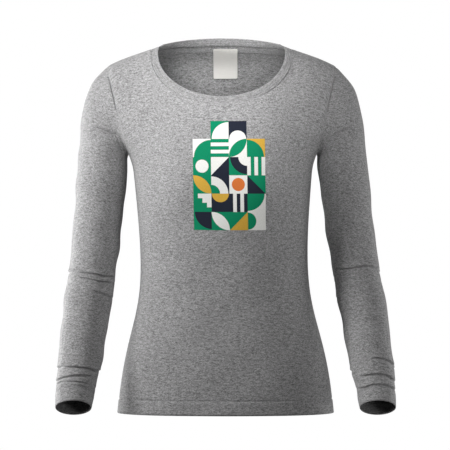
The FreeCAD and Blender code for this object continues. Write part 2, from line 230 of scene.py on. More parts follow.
def cloth_places(points: Grid, closed: bool = False) -> Grid:
    """Where each point of a grid lies along the courses and up the wales of its cloth.

    Args:
        points: Rows by columns of places.
        closed: Whether the last column meets the first, which adds a column.

    Returns:
        Lengths in millimetres, along and up.
    """
    if closed:
        points = joined(points, 1)
    along = run_length(points, 1)
    middle = points.shape[1] // 2
    up = run_length(points)
    return np.stack([along - along[:, middle : middle + 1], up[-1:] - up], axis=-1)


@dataclass(frozen=True)
class TorsoLevel:
    """One level of the worn torso: its drop, half width, depths and the bust's fullness."""

    drop: float
    half_width: float
    front: float
    back: float
    lobe: float = 0.0


@dataclass(frozen=True)
class Ripple:
    """A soft wave of the cloth: how high it is, how long, which way it runs and where it starts."""

    height: float
    length: float
    heading: float
    start: float

    def at(self, x: Grid, z: Grid) -> Grid:
        """How far the wave lifts the cloth at each place seen from the front."""
        along = x * math.cos(self.heading) + z * math.sin(self.heading)
        return self.height * np.sin(2 * math.pi * along / self.length + self.start)


@dataclass(frozen=True)
class Fold:
    """A tuck of the cloth along a line seen from the front: the cloth above hangs over a crease.

    The depth is how far the crease sinks, the ridge how far the cloth above it stands out, the
    width how far both reach, the taper how much of the line fades in at each end, and the step
    half the width of the face between ridge and crease. Without a step the face is a soft one,
    a share of the width. The least is what is left of the fold at its ends.
    """

    line: tuple[Pair, ...]
    depth: float
    ridge: float
    width: float
    taper: float = 0.25
    step: float = 0.0
    soft_step: float = 0.55
    ridge_reach: float = 1.5
    least: float = 0.1

    def nearest(self, x: Grid, z: Grid, pieces: int = 24) -> tuple[Grid, Grid]:
        """Finds the nearest place of the fold's line to each place seen from the front.

        Args:
            x: Places across.
            z: Heights.
            pieces: How many straight pieces the curved line is cut into.

        Returns:
            The distance, which is positive above the line, and the share of the line passed.
        """
        stops = run_length(np.array(self.line, float))
        fine = np.linspace(0, stops[-1], pieces + 1)
        path = np.stack([SmoothCurve(stops, [p[k] for p in self.line])(fine) for k in (0, 1)], axis=-1)
        best = np.full(x.shape, np.inf)
        signed = np.zeros(x.shape)
        passed = np.zeros(x.shape)
        for k in range(pieces):
            start, step = path[k], path[k + 1] - path[k]
            away_x, away_z = x - start[0], z - start[1]
            held = np.clip((away_x * step[0] + away_z * step[1]) / (step @ step), 0, 1)
            distance = np.hypot(away_x - held * step[0], away_z - held * step[1])
            above = np.sign(step[0]) * (step[0] * away_z - step[1] * away_x)
            nearer = distance < best
            best = np.where(nearer, distance, best)
            signed = np.where(nearer, np.copysign(distance, above), signed)
            passed = np.where(nearer, (k + held) / pieces, passed)
        return signed, passed

    def at(self, x: Grid, z: Grid) -> Grid:
        """Works out how far the fold moves the cloth.

        Args:
            x: Places across.
            z: Heights.

        Returns:
            The lift at each place seen from the front.
        """
        signed, passed = self.nearest(x, z)
        fade = smoothstep(0, self.taper, passed) * smoothstep(0, self.taper, 1 - passed)
        face = self.step or self.soft_step * self.width
        over = smoothstep(-face, face, signed)
        lifted = self.ridge * over * bell(np.maximum(signed, 0), self.ridge_reach * self.width)
        sunk = self.depth * (1 - over) * bell(np.maximum(-signed, 0), self.width)
        return (self.least + (1 - self.least) * fade) * (lifted - sunk)


TORSO_LEVELS = (
    TorsoLevel(-20.0, 86.0, 32.0, 50.0),
    TorsoLevel(0.0, 106.1, 40.0, 57.5),
    TorsoLevel(5.4, 120.2, 43.0, 61.0),
    TorsoLevel(19.0, 159.5, 50.0, 72.5),
    TorsoLevel(36.0, 195.0, 57.5, 82.5),
    TorsoLevel(62.0, 214.0, 68.0, 92.0),
    TorsoLevel(110.0, 211.0, 84.0, 98.0, 2.0),
    TorsoLevel(150.0, 186.0, 99.0, 98.0, 5.0),
    TorsoLevel(184.0, 160.5, 109.0, 95.0, 9.0),
    TorsoLevel(225.0, 150.5, 114.0, 88.0, 11.0),
    TorsoLevel(290.0, 145.0, 108.0, 79.0, 3.0),
    TorsoLevel(362.0, 142.0, 98.0, 76.0),
    TorsoLevel(430.0, 147.0, 96.0, 86.0),
    TorsoLevel(510.0, 166.0, 101.0, 101.0),
    TorsoLevel(570.0, 177.5, 106.0, 109.0),
    TorsoLevel(621.0, 183.5, 108.0, 111.0),
)
HEM_END = TORSO_LEVELS[-1].drop
TORSO_RIPPLES = {
    Side.FRONT: (
        Ripple(0.55, 118.0, 0.35, 0.4),
        Ripple(0.45, 83.0, -0.9, 2.1),
        Ripple(0.35, 64.0, 1.25, 4.0),
        Ripple(0.9, 240.0, 0.1, 1.2),
    ),
    Side.BACK: (Ripple(1.0, 170.0, 0.2, 0.0), Ripple(0.6, 90.0, 1.1, 1.0)),
}
TORSO_FOLDS = {
    Side.FRONT: (
        Fold(((-175, -156), (-169, -170), (-161, -188)), 1.6, 1.5, 5.0),
        Fold(((-166, -158), (-163, -167), (-159, -178)), 1.2, 1.3, 4.0),
        Fold(((128, -160), (125, -190), (122, -225), (125, -282)), 2.2, -1.4, 12.0, 0.4),
        Fold(((-126, -168), (-123, -196), (-124, -240)), 1.0, 0.7, 13.0, 0.4),
        Fold(((-132, -330), (-90, -350), (-40, -356)), 1.4, 1.0, 16.0, 0.4),
        Fold(((134, -338), (96, -360), (52, -366)), 1.7, 1.1, 15.0, 0.4),
        Fold(((-120, -395), (-70, -404), (-20, -400)), 0.9, 0.7, 15.0, 0.4),
        Fold(((128, -410), (88, -424), (40, -428)), 1.1, 0.8, 16.0, 0.4),
        Fold(((150, -150), (158, -168), (164, -186)), 1.4, 1.3, 5.0),
    ),
    Side.BACK: (
        Fold(((-120, -360), (-50, -372), (30, -368)), 2.4, 1.6, 15.0, 0.4),
        Fold(((110, -395), (50, -408), (-20, -404)), 2.0, 1.4, 15.0, 0.4),
        Fold(((-90, -120), (0, -128), (90, -120)), 0.9, 0.7, 18.0, 0.4),
    ),
}


@dataclass
class TorsoForm:
    """The worn torso, as a surface that the panels, the band and the print all follow.

    The tip and the underarm are places across and drops. Folds fade in over the edge fade from
    the seams at the sides and over the top fade from the shoulders.
    """

    power: float = 2.3
    bust_point: float = 84.0
    bust_spread: float = 46.0
    neck_drop: float = 5.4
    tip: Pair = (195.0, 36.0)
    underarm: Pair = (160.5, 184.0)
    edge_fade: Pair = (2.0, 22.0)
    top_fade: Pair = (14.0, 60.0)
    seam_turn: float = 0.004

    def __post_init__(self) -> None:
        """Runs smooth curves through the levels."""
        drops = [level.drop for level in TORSO_LEVELS]
        self.half_width = SmoothCurve(drops, [level.half_width for level in TORSO_LEVELS])
        self.lobe = SmoothCurve(drops, [level.lobe for level in TORSO_LEVELS])
        self.depth = {
            side: SmoothCurve(drops, [getattr(level, side.name.lower()) for level in TORSO_LEVELS])
            for side in Side
        }

    def turn_at(self, x: Grid, drop: Grid) -> Grid:
        """The turn from the left side seam that reaches a place across a level."""
        share = np.clip(np.abs(x) / self.half_width(drop), 0, 1) ** (self.power / 2)
        return np.arccos(np.copysign(share, x))

    def smooth(self, side: Side, turn: Grid, drop: Grid) -> Grid:
        """Finds points of the plain form, before the cloth's folds.

        Args:
            side: The front or the back.
            turn: Turns from the left side seam.
            drop: Drops below the shoulder points.

        Returns:
            One point for each turn and drop.
        """
        cosine, sine = np.cos(turn), np.clip(np.sin(turn), 0, 1)
        x = self.half_width(drop) * np.copysign(np.abs(cosine) ** (2 / self.power), cosine)
        depth = self.depth[side](drop) * sine ** (2 / self.power)
        if side is Side.FRONT:
            bust = bell(np.abs(x) - self.bust_point, self.bust_spread)
            depth = depth + np.clip(self.lobe(drop), 0, None) * bust * sine
        return np.stack([x, side.value * depth, -np.asarray(drop, float)], axis=-1)

    def outward(self, side: Side, turn: Grid, drop: Grid) -> Grid:
        """Finds the plain form's outward direction.

        Args:
            side: The front or the back.
            turn: Turns from the left side seam.
            drop: Drops below the shoulder points.

        Returns:
            One unit direction for each turn and drop.
        """
        turn = np.clip(turn, self.seam_turn, math.pi - self.seam_turn)
        step = self.seam_turn / 2
        across = self.smooth(side, turn + step, drop) - self.smooth(side, turn - step, drop)
        down = self.smooth(side, turn, drop + 1) - self.smooth(side, turn, drop - 1)
        return unit(np.cross(across, down)) * -side.value

    def armhole_x(self, drop: Grid) -> Grid:
        """How far out the armhole seam lies at a drop between the tip and the underarm."""
        share = (np.asarray(drop, float) - self.tip[1]) / (self.underarm[1] - self.tip[1])
        return self.tip[0] + (self.underarm[0] - self.tip[0]) * share

    def limit(self, drop: Grid) -> Grid:
        """How far across a panel reaches at each drop, by the armhole or the side seam."""
        return np.where(drop < self.underarm[1], self.armhole_x(drop), self.half_width(drop))

    def creases(self, side: Side, points: Grid) -> Grid:
        """Works out how far the folds and ripples lift the cloth, fading out at the seams.

        Args:
            side: The front or the back.
            points: Places on the plain form.

        Returns:
            The lift at each place.
        """
        x, z = points[..., 0], points[..., 2]
        lift = sum(ripple.at(x, z) for ripple in TORSO_RIPPLES[side])
        lift = lift + sum(fold.at(x, z) for fold in TORSO_FOLDS[side])
        from_edge = self.limit(-z) - np.abs(x)
        return lift * smoothstep(*self.edge_fade, from_edge) * smoothstep(*self.top_fade, -z)

    def cloth(self, side: Side, turn: Grid, drop: Grid, offset: Union[float, Grid] = 0.0) -> Grid:
        """Finds points of the worn cloth's outer face.

        Args:
            side: The front or the back.
            turn: Turns from the left side seam.
            drop: Drops below the shoulder points.
            offset: How far outside the cloth's face the points lie.

        Returns:
            One point for each turn and drop.
        """
        plain = self.smooth(side, turn, drop)
        lift = self.creases(side, plain) + offset
        return plain + self.outward(side, turn, drop) * np.asarray(lift)[..., None]


@dataclass(frozen=True)
class Oval:
    """A neckline curve seen from the front, from one shoulder to the other.

    The centre is a height, and the reach goes up where it is positive and down where negative.
    """

    half_width: float
    start: float
    centre: float
    reach: float

    def line(self, count: int = 900) -> Grid:
        """Draws the curve from the wearer's left to the right.

        Args:
            count: How many points to take.

        Returns:
            Places across and up.
        """
        lift = (self.start - self.centre) / self.reach
        wide = self.half_width / math.sqrt(1 - lift**2)
        begin = math.asin(lift)
        turn = np.linspace(begin, math.pi - begin, count)
        return np.stack([wide * np.cos(turn), self.centre + self.reach * np.sin(turn)], axis=-1)


SEAM_LINE = {Side.FRONT: Oval(120.2, -5.4, -12.0, -89.0), Side.BACK: Oval(120.2, -5.4, -16.0, 19.0)}
EDGE_LINE = {Side.FRONT: Oval(106.1, 0.0, -12.0, -75.6), Side.BACK: Oval(106.1, 0.0, -6.0, 23.0)}


@dataclass(frozen=True)
class SleeveRing:
    """A ring round the arm: outer and inner point seen from the front, place forward, half depth
    and the ring's lean in degrees."""

    outer: float
    outer_drop: float
    inner: float
    inner_drop: float
    forward: float
    half_depth: float
    lean: float = 0.0


SLEEVE_RINGS = (
    SleeveRing(195.0, 36.0, 160.5, 184.0, -4.0, 55.0),
    SleeveRing(223.0, 67.0, 161.0, 191.0, -5.0, 50.0),
    SleeveRing(238.0, 120.0, 161.5, 200.0, -6.0, 50.0),
    SleeveRing(247.0, 203.0, 164.5, 232.0, -8.0, 49.0),
    SleeveRing(256.0, 307.0, 175.0, 318.0, -8.0, 46.0, 2.0),
    SleeveRing(265.0, 385.0, 186.0, 396.0, 2.0, 44.0, 12.0),
    SleeveRing(275.0, 450.5, 196.0, 461.5, 20.0, 42.0, 21.0),
    SleeveRing(282.0, 538.5, 211.0, 547.0, 57.0, 37.0, 23.0),
    SleeveRing(284.5, 576.0, 218.5, 581.5, 73.0, 33.0, 23.5),
    SleeveRing(284.3, 608.2, 224.3, 607.8, 86.5, 31.0, 26.5),
)
SLEEVE_RIPPLES = (Ripple(0.7, 96.0, 1.35, 0.5), Ripple(0.5, 58.0, 1.8, 2.2), Ripple(0.35, 41.0, 0.9, 3.4))
SLEEVE_FOLDS = {
    Hand.RIGHT: (
        Fold(
            ((-270, -383.6), (-260, -382.4), (-246, -382.5), (-233.5, -383.4), (-219.5, -385.1),
             (-205, -388.3), (-186, -390.5)),
            3.8, 2.0, 3.6, 0.06, 1.0,
        ),
        Fold(
            ((-248.5, -390.8), (-239, -391.6), (-228, -393.6), (-216.5, -396.5), (-205.5, -398.5),
             (-185, -400.5)),
            3.5, 1.8, 3.4, 0.22, 1.0,
        ),
        Fold(((-222, -413), (-211, -416.9), (-202.5, -420.4), (-187, -428)), 3.5, 1.9, 3.8, 0.3, 1.0),
        Fold(
            ((-284, -545.5), (-279.3, -541), (-267.6, -540), (-253.7, -539.8), (-239.7, -540.7),
             (-230, -542.4), (-221.7, -545.3), (-204, -549.5)),
            4.1, 1.8, 3.6, 0.04, 0.9,
        ),
        Fold(
            ((-286, -568), (-279.9, -561.1), (-271.7, -557.6), (-260.5, -554.9), (-246.6, -553.6),
             (-232.7, -553.6), (-222, -555.4)),
            3.2, 1.5, 3.0, 0.1, 0.8,
        ),
        Fold(
            ((-286, -571.5), (-277.2, -564.7), (-267.6, -563.3), (-253.7, -563.5), (-239.7, -564.7),
             (-226, -568.5)),
            3.1, 1.3, 2.8, 0.1, 0.8,
        ),
        Fold(
            ((-268, -566.3), (-257.8, -567.5), (-246.6, -569.2), (-235.5, -571.5), (-225, -575.6)),
            2.4, 1.1, 3.0, 0.3, 0.9,
        ),
        Fold(((-177.5, -154), (-171, -172), (-163, -187)), 2.7, 1.4, 2.6, 0.3, 1.0),
        Fold(((-171, -151), (-166.5, -164), (-162.5, -177)), 2.4, 1.1, 2.4, 0.3, 1.0),
        Fold(((-220, -135), (-199, -142), (-179, -152)), 4.4, 1.6, 4.5, 0.3, 1.1),
        Fold(((-234, -226), (-214, -240), (-190, -246)), 1.0, 0.8, 10.0, 0.4),
        Fold(((-262, -462), (-240, -470), (-214, -468)), 1.0, 0.8, 9.0, 0.4),
    ),
    Hand.LEFT: (
        Fold(((236, -364), (249, -367), (264, -371)), 2.2, 1.1, 4.0, 0.3, 1.1),
        Fold(((187, -377), (219, -375), (236, -372), (249, -373), (267, -379)), 3.5, 1.7, 4.0, 0.15, 1.1),
        Fold(
            ((243, -526), (252.5, -525), (261, -526.4), (269.3, -528.7), (276.2, -532.9), (284, -541.5)),
            3.5, 1.4, 3.6, 0.2, 0.9,
        ),
        Fold(
            ((223, -556), (233, -553.7), (244.2, -551.9), (255.3, -551.6), (264.9, -552.9),
             (273.3, -556.4), (280.2, -561.2), (286, -568)),
            3.5, 1.4, 3.4, 0.16, 0.9,
        ),
        Fold(
            ((214, -576.5), (226, -575), (234.4, -572.1), (244.1, -568.9), (255.1, -568.2),
             (264.8, -568.9), (274.5, -571.6), (281.4, -575.7), (287, -582)),
            3.5, 1.4, 3.4, 0.12, 0.9,
        ),
        Fold(((178, -158), (171.5, -174), (163.5, -188)), 2.4, 1.3, 2.6, 0.3, 1.0),
        Fold(((216, -139), (197, -146), (180, -157)), 4.1, 1.4, 4.5, 0.3, 1.1),
        Fold(((236, -236), (214, -248), (192, -250)), 1.0, 0.8, 10.0, 0.4),
        Fold(((266, -452), (244, -462), (216, -462)), 1.1, 0.8, 9.0, 0.4),
    ),
}


@dataclass
class SleeveForm:
    """The worn left sleeve, from the torso's armhole to the wrist. The right one is its mirror
    image with folds of its own.

    The elbow and the wrist are rings, and the wrist's folds lie some way past its ring.
    """

    torso: TorsoForm
    elbow: int = 5
    wrist: int = 7
    wrist_folds: float = 16.0
    crowd: float = 2.6
    crowd_reach: float = 34.0
    front_fade: float = 0.35
    back_share: float = 0.8
    top_fade: Pair = (2.0, 26.0)
    end_fade: Pair = (2.0, 34.0)

    def __post_init__(self) -> None:
        """Runs smooth curves through the rings."""
        place = [0.0]
        for before, after in zip(SLEEVE_RINGS, SLEEVE_RINGS[1:]):
            across = (after.outer + after.inner - before.outer - before.inner) / 2
            down = (after.outer_drop + after.inner_drop - before.outer_drop - before.inner_drop) / 2
            place.append(place[-1] + math.hypot(across, down, after.forward - before.forward))
        self.place = np.array(place)
        self.length = float(place[-1])
        names = [size.name for size in fields(SleeveRing)]
        self.curves = {name: SmoothCurve(place, [getattr(r, name) for r in SLEEVE_RINGS]) for name in names}

    def armhole(self, turn: Grid) -> Grid:
        """Follows the armhole seam of the panels.

        Args:
            turn: Turns round the arm from the underarm, with the front first.

        Returns:
            One point for each turn.
        """
        share = (1 - np.cos(turn)) / 2
        drop = self.torso.underarm[1] + (self.torso.tip[1] - self.torso.underarm[1]) * share
        across = self.torso.turn_at(self.torso.armhole_x(drop), drop)
        front, back = (self.torso.smooth(side, across, drop) for side in Side)
        return np.where((np.sin(turn) >= 0)[..., None], front, back)

    def smooth(self, turn: Grid, along: Grid) -> Grid:
        """Finds points of the plain left sleeve, before its folds.

        Args:
            turn: Turns round the arm from its inner side, with the front first.
            along: Lengths along the sleeve from the armhole.

        Returns:
            One point for each turn and length.
        """
        ring = {name: curve(along) for name, curve in self.curves.items()}
        outer = np.stack([ring["outer"], 0 * along, -ring["outer_drop"]], axis=-1)
        inner = np.stack([ring["inner"], 0 * along, -ring["inner_drop"]], axis=-1)
        across = unit(outer - inner)
        half_width = np.linalg.norm(outer - inner, axis=-1) / 2
        down = np.stack([across[..., 2], 0 * along, -across[..., 0]], axis=-1)
        lean = np.radians(ring["lean"])
        deep = np.stack([0 * along, np.cos(lean), 0 * along], axis=-1) + down * np.sin(lean)[..., None]
        centre = (outer + inner) / 2
        centre[..., 1] -= ring["forward"]
        points = centre - across * (half_width * np.cos(turn))[..., None]
        points = points - deep * (ring["half_depth"] * np.sin(turn))[..., None]
        share = (1 - np.clip(along / self.place[1], 0, 1)) ** 2
        return points * (1 - share)[..., None] + self.armhole(turn) * share[..., None]

    def stations(self, count: int, fine: int = 3000) -> Grid:
        """Picks places along the sleeve, closer together where its sharp folds lie.

        Args:
            count: How many places to pick.
            fine: How many places to pick them from.

        Returns:
            Lengths from the armhole.
        """
        along = np.linspace(0, self.length, fine)
        elbow = bell(along - self.place[self.elbow], self.crowd_reach, 4)
        wrist = bell(along - (self.place[self.wrist] + self.wrist_folds), self.crowd_reach, 4)
        return crowded(along, 1 + self.crowd * np.maximum(elbow, wrist), count)

    def cloth(self, hand: Hand, turn: Grid, along: Grid) -> tuple[Grid, Grid]:
        """Finds points of the worn sleeve's outer face.

        Args:
            hand: The arm that the sleeve covers.
            turn: Turns round the arm.
            along: Lengths along the sleeve.

        Returns:
            One point for each turn and length, and the plain sleeve's outward direction there.
        """
        mirror = np.array([hand.value, 1, 1])
        plain = self.smooth(turn, along)
        normals = grid_normals(plain, closed=True) * mirror
        if np.mean(normals[:, turn.shape[1] // 4, 1]) > 0:
            normals = -normals
        plain = plain * mirror
        x, z = plain[..., 0], plain[..., 2]
        facing = smoothstep(-self.front_fade, self.front_fade, -normals[..., 1])
        lift = facing * sum(fold.at(x, z) for fold in SLEEVE_FOLDS[hand])
        behind = sum(fold.at(-x, z) for fold in SLEEVE_FOLDS[Hand(-hand.value)])
        lift = lift + (1 - facing) * self.back_share * behind
        lift = lift + sum(ripple.at(x, z) for ripple in SLEEVE_RIPPLES)
        lift = lift * smoothstep(*self.top_fade, along) * smoothstep(*self.end_fade, self.length - along)
        return plain + normals * lift[..., None], normals


@dataclass(frozen=True)
class SeamRelief:
    """How the cloth sinks into a seam and swells over its allowance beside it."""

    depth: float = 1.0
    width: float = 1.9
    swell: float = 0.35
    swell_place: float = 6.5
    swell_width: float = 3.4

    def at(self, distance: Grid) -> Grid:
        """The cloth's lift at each distance from the seam."""
        swell = self.swell * bell(distance - self.swell_place, self.swell_width)
        return swell - self.depth * bell(distance, self.width)


SEAM = SeamRelief()


class MeshBuilder:
    """Collects the faces of one piece and makes a mesh object of them.

    The top leans a little to the wearer's right towards the shoulders, which is added here.
    """

    SWAY = SmoothCurve(
        (-40, 60, 130, 210, 300, 400, 520, 660),
        (-6.5, -6.5, -5.8, -4.6, -3.4, -1.6, 0.0, 0.0),
    )

    def __init__(self, name: str) -> None:
        """Starts an empty piece.

        Args:
            name: The name of the object to make.
        """
        self.name = name
        self.count = 0
        self.points: list[Grid] = []
        self.faces: list[Grid] = []
        self.corners: list[Grid] = []
        self.flat: list[Grid] = []

    @classmethod
    def swayed(cls, points: Grid) -> Grid:
        """The points moved sideways by the worn top's lean."""
        return points + cls.SWAY(-points[:, 2])[:, None] * np.array([1.0, 0.0, 0.0])

    def add(self, points: Grid, faces: Grid, corners: Grid, flat: Grid) -> None:
        """Adds a closed part, turned so that its faces look outwards.

        Args:
            points: Places in millimetres.
            faces: Four corners of each face, by point.
            corners: The cloth place in millimetres at each corner of each face.
            flat: Which faces are shaded flat.
        """
        a, b, c, d = (points[faces[:, k]] for k in range(4))
        middle = points.mean(axis=0)
        halves = np.einsum("ij,ij->i", a - middle, np.cross(b - middle, c - middle))
        halves = halves + np.einsum("ij,ij->i", a - middle, np.cross(c - middle, d - middle))
        if halves.sum() < 0:
            faces, corners = faces[:, ::-1], corners[:, ::-1]
        self.points.append(self.swayed(points))
        self.faces.append(faces + self.count)
        self.corners.append(corners)
        self.flat.append(flat)
        self.count += len(points)

    def slab(self, outer: Grid, inner: Grid, closed: bool = False) -> None:
        """Adds a ply of cloth between two grids of points, with flat rims.

        Args:
            outer: Rows by columns of places on the outer face.
            inner: The same places on the inner face.
            closed: Whether the last column meets the first.
        """
        near = np.arange(outer[..., 0].size).reshape(outer.shape[:2])
        if closed:
            near = joined(near, 1)
        far = near + outer[..., 0].size
        cloth = cloth_places(outer, closed)
        front, back, places = cells(near), cells(far), cells(cloth)
        kinds = [(front, places, False)]
        kinds.append(([back[k] for k in (0, 3, 2, 1)], [places[k] for k in (0, 3, 2, 1)], False))
        rims = [(near[0], far[0], cloth[0], True), (near[-1], far[-1], cloth[-1], False)]
        if not closed:
            rims.append((near[:, 0], far[:, 0], cloth[:, 0], False))
            rims.append((near[:, -1], far[:, -1], cloth[:, -1], True))
        for top, under, place, turned in rims:
            ends = slice(None, -1), slice(1, None)
            a, b = ends[::-1] if turned else ends
            corners = place[a], place[b], place[b], place[a]
            kinds.append(((top[a], top[b], under[b], under[a]), corners, True))
        faces = np.concatenate([np.stack([k.ravel() for k in four], axis=-1) for four, _, _ in kinds])
        quads = [np.stack([k.reshape(-1, 2) for k in four], axis=1) for _, four, _ in kinds]
        corners = np.concatenate(quads)
        flat = np.concatenate([np.full(four[0].size, edge) for four, _, edge in kinds])
        points = np.concatenate([outer.reshape(-1, 3), inner.reshape(-1, 3)])
        self.add(points, faces, corners, flat)

    def ring(self, rows: Grid) -> None:
        """Adds a closed profile that is carried round a closed path.

        Args:
            rows: Profile points by path points of places.
        """
        number = np.arange(rows[..., 0].size).reshape(rows.shape[:2])
        faces = np.stack([k.ravel() for k in cells(joined(joined(number), 1))], axis=-1)
        places = cells(cloth_places(joined(rows), closed=True))
        corners = np.stack([k.reshape(-1, 2) for k in places], axis=1)
        self.add(rows.reshape(-1, 3), faces, corners, np.zeros(len(faces), bool))

    def build(self) -> bpy.types.Object:
        """Makes the object and links it to the scene.

        Returns:
            The new object.
        """
        points = np.concatenate(self.points) * MM
        faces = np.concatenate(self.faces)
        corners = np.concatenate(self.corners).reshape(-1, 2) * MM
        mesh = bpy.data.meshes.new(self.name)
        mesh.vertices.add(len(points))
        mesh.vertices.foreach_set("co", points.astype(np.float32).ravel())
        mesh.loops.add(faces.size)
        mesh.loops.foreach_set("vertex_index", faces.astype(np.int32).ravel())
        mesh.polygons.add(len(faces))
        mesh.polygons.foreach_set("loop_start", np.arange(0, faces.size, 4, dtype=np.int32))
        mesh.update(calc_edges=True)
        mesh.polygons.foreach_set("use_smooth", ~np.concatenate(self.flat))
        layer = mesh.uv_layers.new(name="Cloth")
        layer.data.foreach_set("uv", corners.astype(np.float32).ravel())
        mesh.validate()
        return linked(self.name, mesh)


def linked(name: str, data: Union[bpy.types.ID, None]) -> bpy.types.Object:
    """Puts an object for a mesh, a lamp or a camera into the scene.

    Args:
        name: The object's name.
        data: What it shows.

    Returns:
        The new object.
    """
    item = bpy.data.objects.new(name, data)
    bpy.context.scene.collection.objects.link(item)
    return item


class Signal:
    """A number that flows between shader nodes and takes part in arithmetic."""

    def __init__(self, graph: "Graph", socket: bpy.types.NodeSocket) -> None:
        """Wraps one output of a node."""
        self.graph = graph
        self.socket = socket

    def _math(self, operation: str, first: "Value", second: "Value" = 0.0) -> "Signal":
        """One Math node over two values."""
        node = self.graph.node("ShaderNodeMath", {0: first, 1: second}, operation=operation)
        return Signal(self.graph, node.outputs[0])

    def __add__(self, other: "Value") -> "Signal":
        """The sum with a value."""
        return self._math("ADD", self, other)

    def __sub__(self, other: "Value") -> "Signal":
        """What is left after a value."""
        return self._math("SUBTRACT", self, other)

    def __rsub__(self, other: "Value") -> "Signal":
        """What is left of a value."""
        return self._math("SUBTRACT", other, self)

    def __mul__(self, other: "Value") -> "Signal":
        """The product with a value."""
        return self._math("MULTIPLY", self, other)

    __radd__ = __add__
    __rmul__ = __mul__

    def ridges(self, pitch: float) -> "Signal":
        """Rounded ridges at a pitch in metres."""
        sine = self._math("SINE", self * (math.pi / pitch))
        return self._math("ABSOLUTE", sine)


Value = Union[Signal, float, Sequence[float], bpy.types.NodeSocket]


@dataclass(frozen=True)
class Grain:
    """Noise over the cloth: how fine along and up, its detail, its roughness and its layer."""

    along: float
    up: float
    detail: float
    rough: float
    layer: float


class Graph:
    """The nodes of a material or of the world, each added by one method."""

    def __init__(self, owner: Union[bpy.types.Material, bpy.types.World]) -> None:
        """Takes the nodes away that the owner starts with.

        Args:
            owner: The material or the world.
        """
        self.owner = owner
        owner.use_nodes = True
        self.tree = owner.node_tree
        self.tree.nodes.clear()

    def node(
        self, kind: str, sockets: Optional[dict[Union[int, str], Value]] = None, **settings: object
    ) -> bpy.types.Node:
        """Adds a node, sets its settings and then its sockets.

        Args:
            kind: The node's type.
            sockets: Values or links of its inputs, by name or number.
            **settings: Values of the node itself.

        Returns:
            The new node.
        """
        node = self.tree.nodes.new(kind)
        for key, value in settings.items():
            setattr(node, key, value)
        for key, value in (sockets or {}).items():
            value = value.socket if isinstance(value, Signal) else value
            if isinstance(value, bpy.types.NodeSocket):
                self.tree.links.new(value, node.inputs[key])
            else:
                node.inputs[key].default_value = value
        return node

    def cloth(self) -> tuple[Signal, Signal]:
        """How far along and up the cloth a place lies, in metres."""
        parts = self.node("ShaderNodeSeparateXYZ", {0: self.node("ShaderNodeTexCoord").outputs["UV"]})
        return Signal(self, parts.outputs[0]), Signal(self, parts.outputs[1])

    def noise(self, grain: Grain, along: Signal, up: Signal) -> Signal:
        """Adds noise from nought to one.

        Args:
            grain: What the noise is like.
            along: How far along the cloth a place lies.
            up: How far up the cloth it lies.

        Returns:
            The noise.
        """
        spot = {0: along * grain.along, 1: up * grain.up, 2: grain.layer}
        place = self.node("ShaderNodeCombineXYZ", spot).outputs[0]
        sockets = {"Vector": place, "Scale": 1.0, "Detail": grain.detail, "Roughness": grain.rough}
        return Signal(self, self.node("ShaderNodeTexNoise", sockets, noise_dimensions="3D").outputs["Fac"])

    def ramp(self, value: Signal, low: float, high: float) -> Signal:
        """The value stretched so that low becomes nought and high becomes one."""
        sockets = {"Value": value, "From Min": low, "From Max": high, "To Min": 0.0, "To Max": 1.0}
        return Signal(self, self.node("ShaderNodeMapRange", sockets, clamp=True).outputs[0])

    def mix(self, share: Value, first: Value, second: Value) -> bpy.types.NodeSocket:
        """A colour between two others."""
        sockets = {"Factor": share, 6: first, 7: second}
        return self.node("ShaderNodeMix", sockets, data_type="RGBA").outputs[2]

    def bump(self, height: Signal, distance: float, strength: float) -> bpy.types.NodeSocket:
        """A normal that follows a fine relief."""
        sockets = {"Height": height, "Distance": distance, "Strength": strength}
        return self.node("ShaderNodeBump", sockets).outputs[0]

    def finish(self, **sockets: Value) -> bpy.types.Material:
        """Ends the material in one surface shader.

        Args:
            **sockets: The shader's inputs, with low lines in place of spaces in their names.

        Returns:
            The material.
        """
        named = {key.replace("_", " "): value for key, value in sockets.items()}
        shader = self.node("ShaderNodeBsdfPrincipled", named)
        self.node("ShaderNodeOutputMaterial", {"Surface": shader.outputs[0]})
        return self.owner


def tinted(colour: Colour, share: float) -> tuple[float, ...]:
    """A colour made lighter or darker by a share."""
    return tuple(min(1.0, part * share) for part in colour) + (1.0,)


@dataclass(frozen=True)
class KnitFinish:
    """Heather grey knit: pale and dark fibres in short streaks along the courses."""

    name: str
    colour: Colour
    contrast: float = 0.7
    rib_pitch: float = 0.0
    streak: Grain = Grain(380.0, 1080.0, 2.0, 0.6, 1.7)
    patch: Grain = Grain(120.0, 340.0, 1.0, 0.5, 7.1)
    fleck: Grain = Grain(900.0, 1700.0, 1.0, 0.5, 4.3)
    shares: tuple[float, ...] = (0.6, 0.22, 0.18)
    mottle: Pair = (0.36, 0.64)
    wale: float = 0.00085
    course: float = 0.0006
    relief: float = 0.00012

    def make(self) -> bpy.types.Material:
        """Makes the material.

        Returns:
            The new material.
        """
        graph = Graph(bpy.data.materials.new(self.name))
        along, up = graph.cloth()
        grains = self.streak, self.patch, self.fleck
        streak, patch, fleck = (graph.noise(grain, along, up) for grain in grains)
        mixed = self.shares[0] * streak + self.shares[1] * patch + self.shares[2] * fleck
        dark, light = tinted(self.colour, 1 - self.contrast), tinted(self.colour, 1 + self.contrast)
        colour = graph.mix(graph.ramp(mixed, *self.mottle), dark, light)
        stitch = along.ridges(self.wale) + 0.6 * up.ridges(self.course)
        relief = 0.5 * stitch + 1.2 * mixed
        if self.rib_pitch:
            relief = relief + 2.0 * along.ridges(self.rib_pitch)
        return graph.finish(
            Base_Color=colour,
            Roughness=0.92,
            Normal=graph.bump(relief, self.relief, 0.5),
            Sheen_Weight=0.25,
            Sheen_Roughness=0.5,
            Sheen_Tint=(1.0, 1.0, 1.0, 1.0),
            Specular_IOR_Level=0.2,
        )


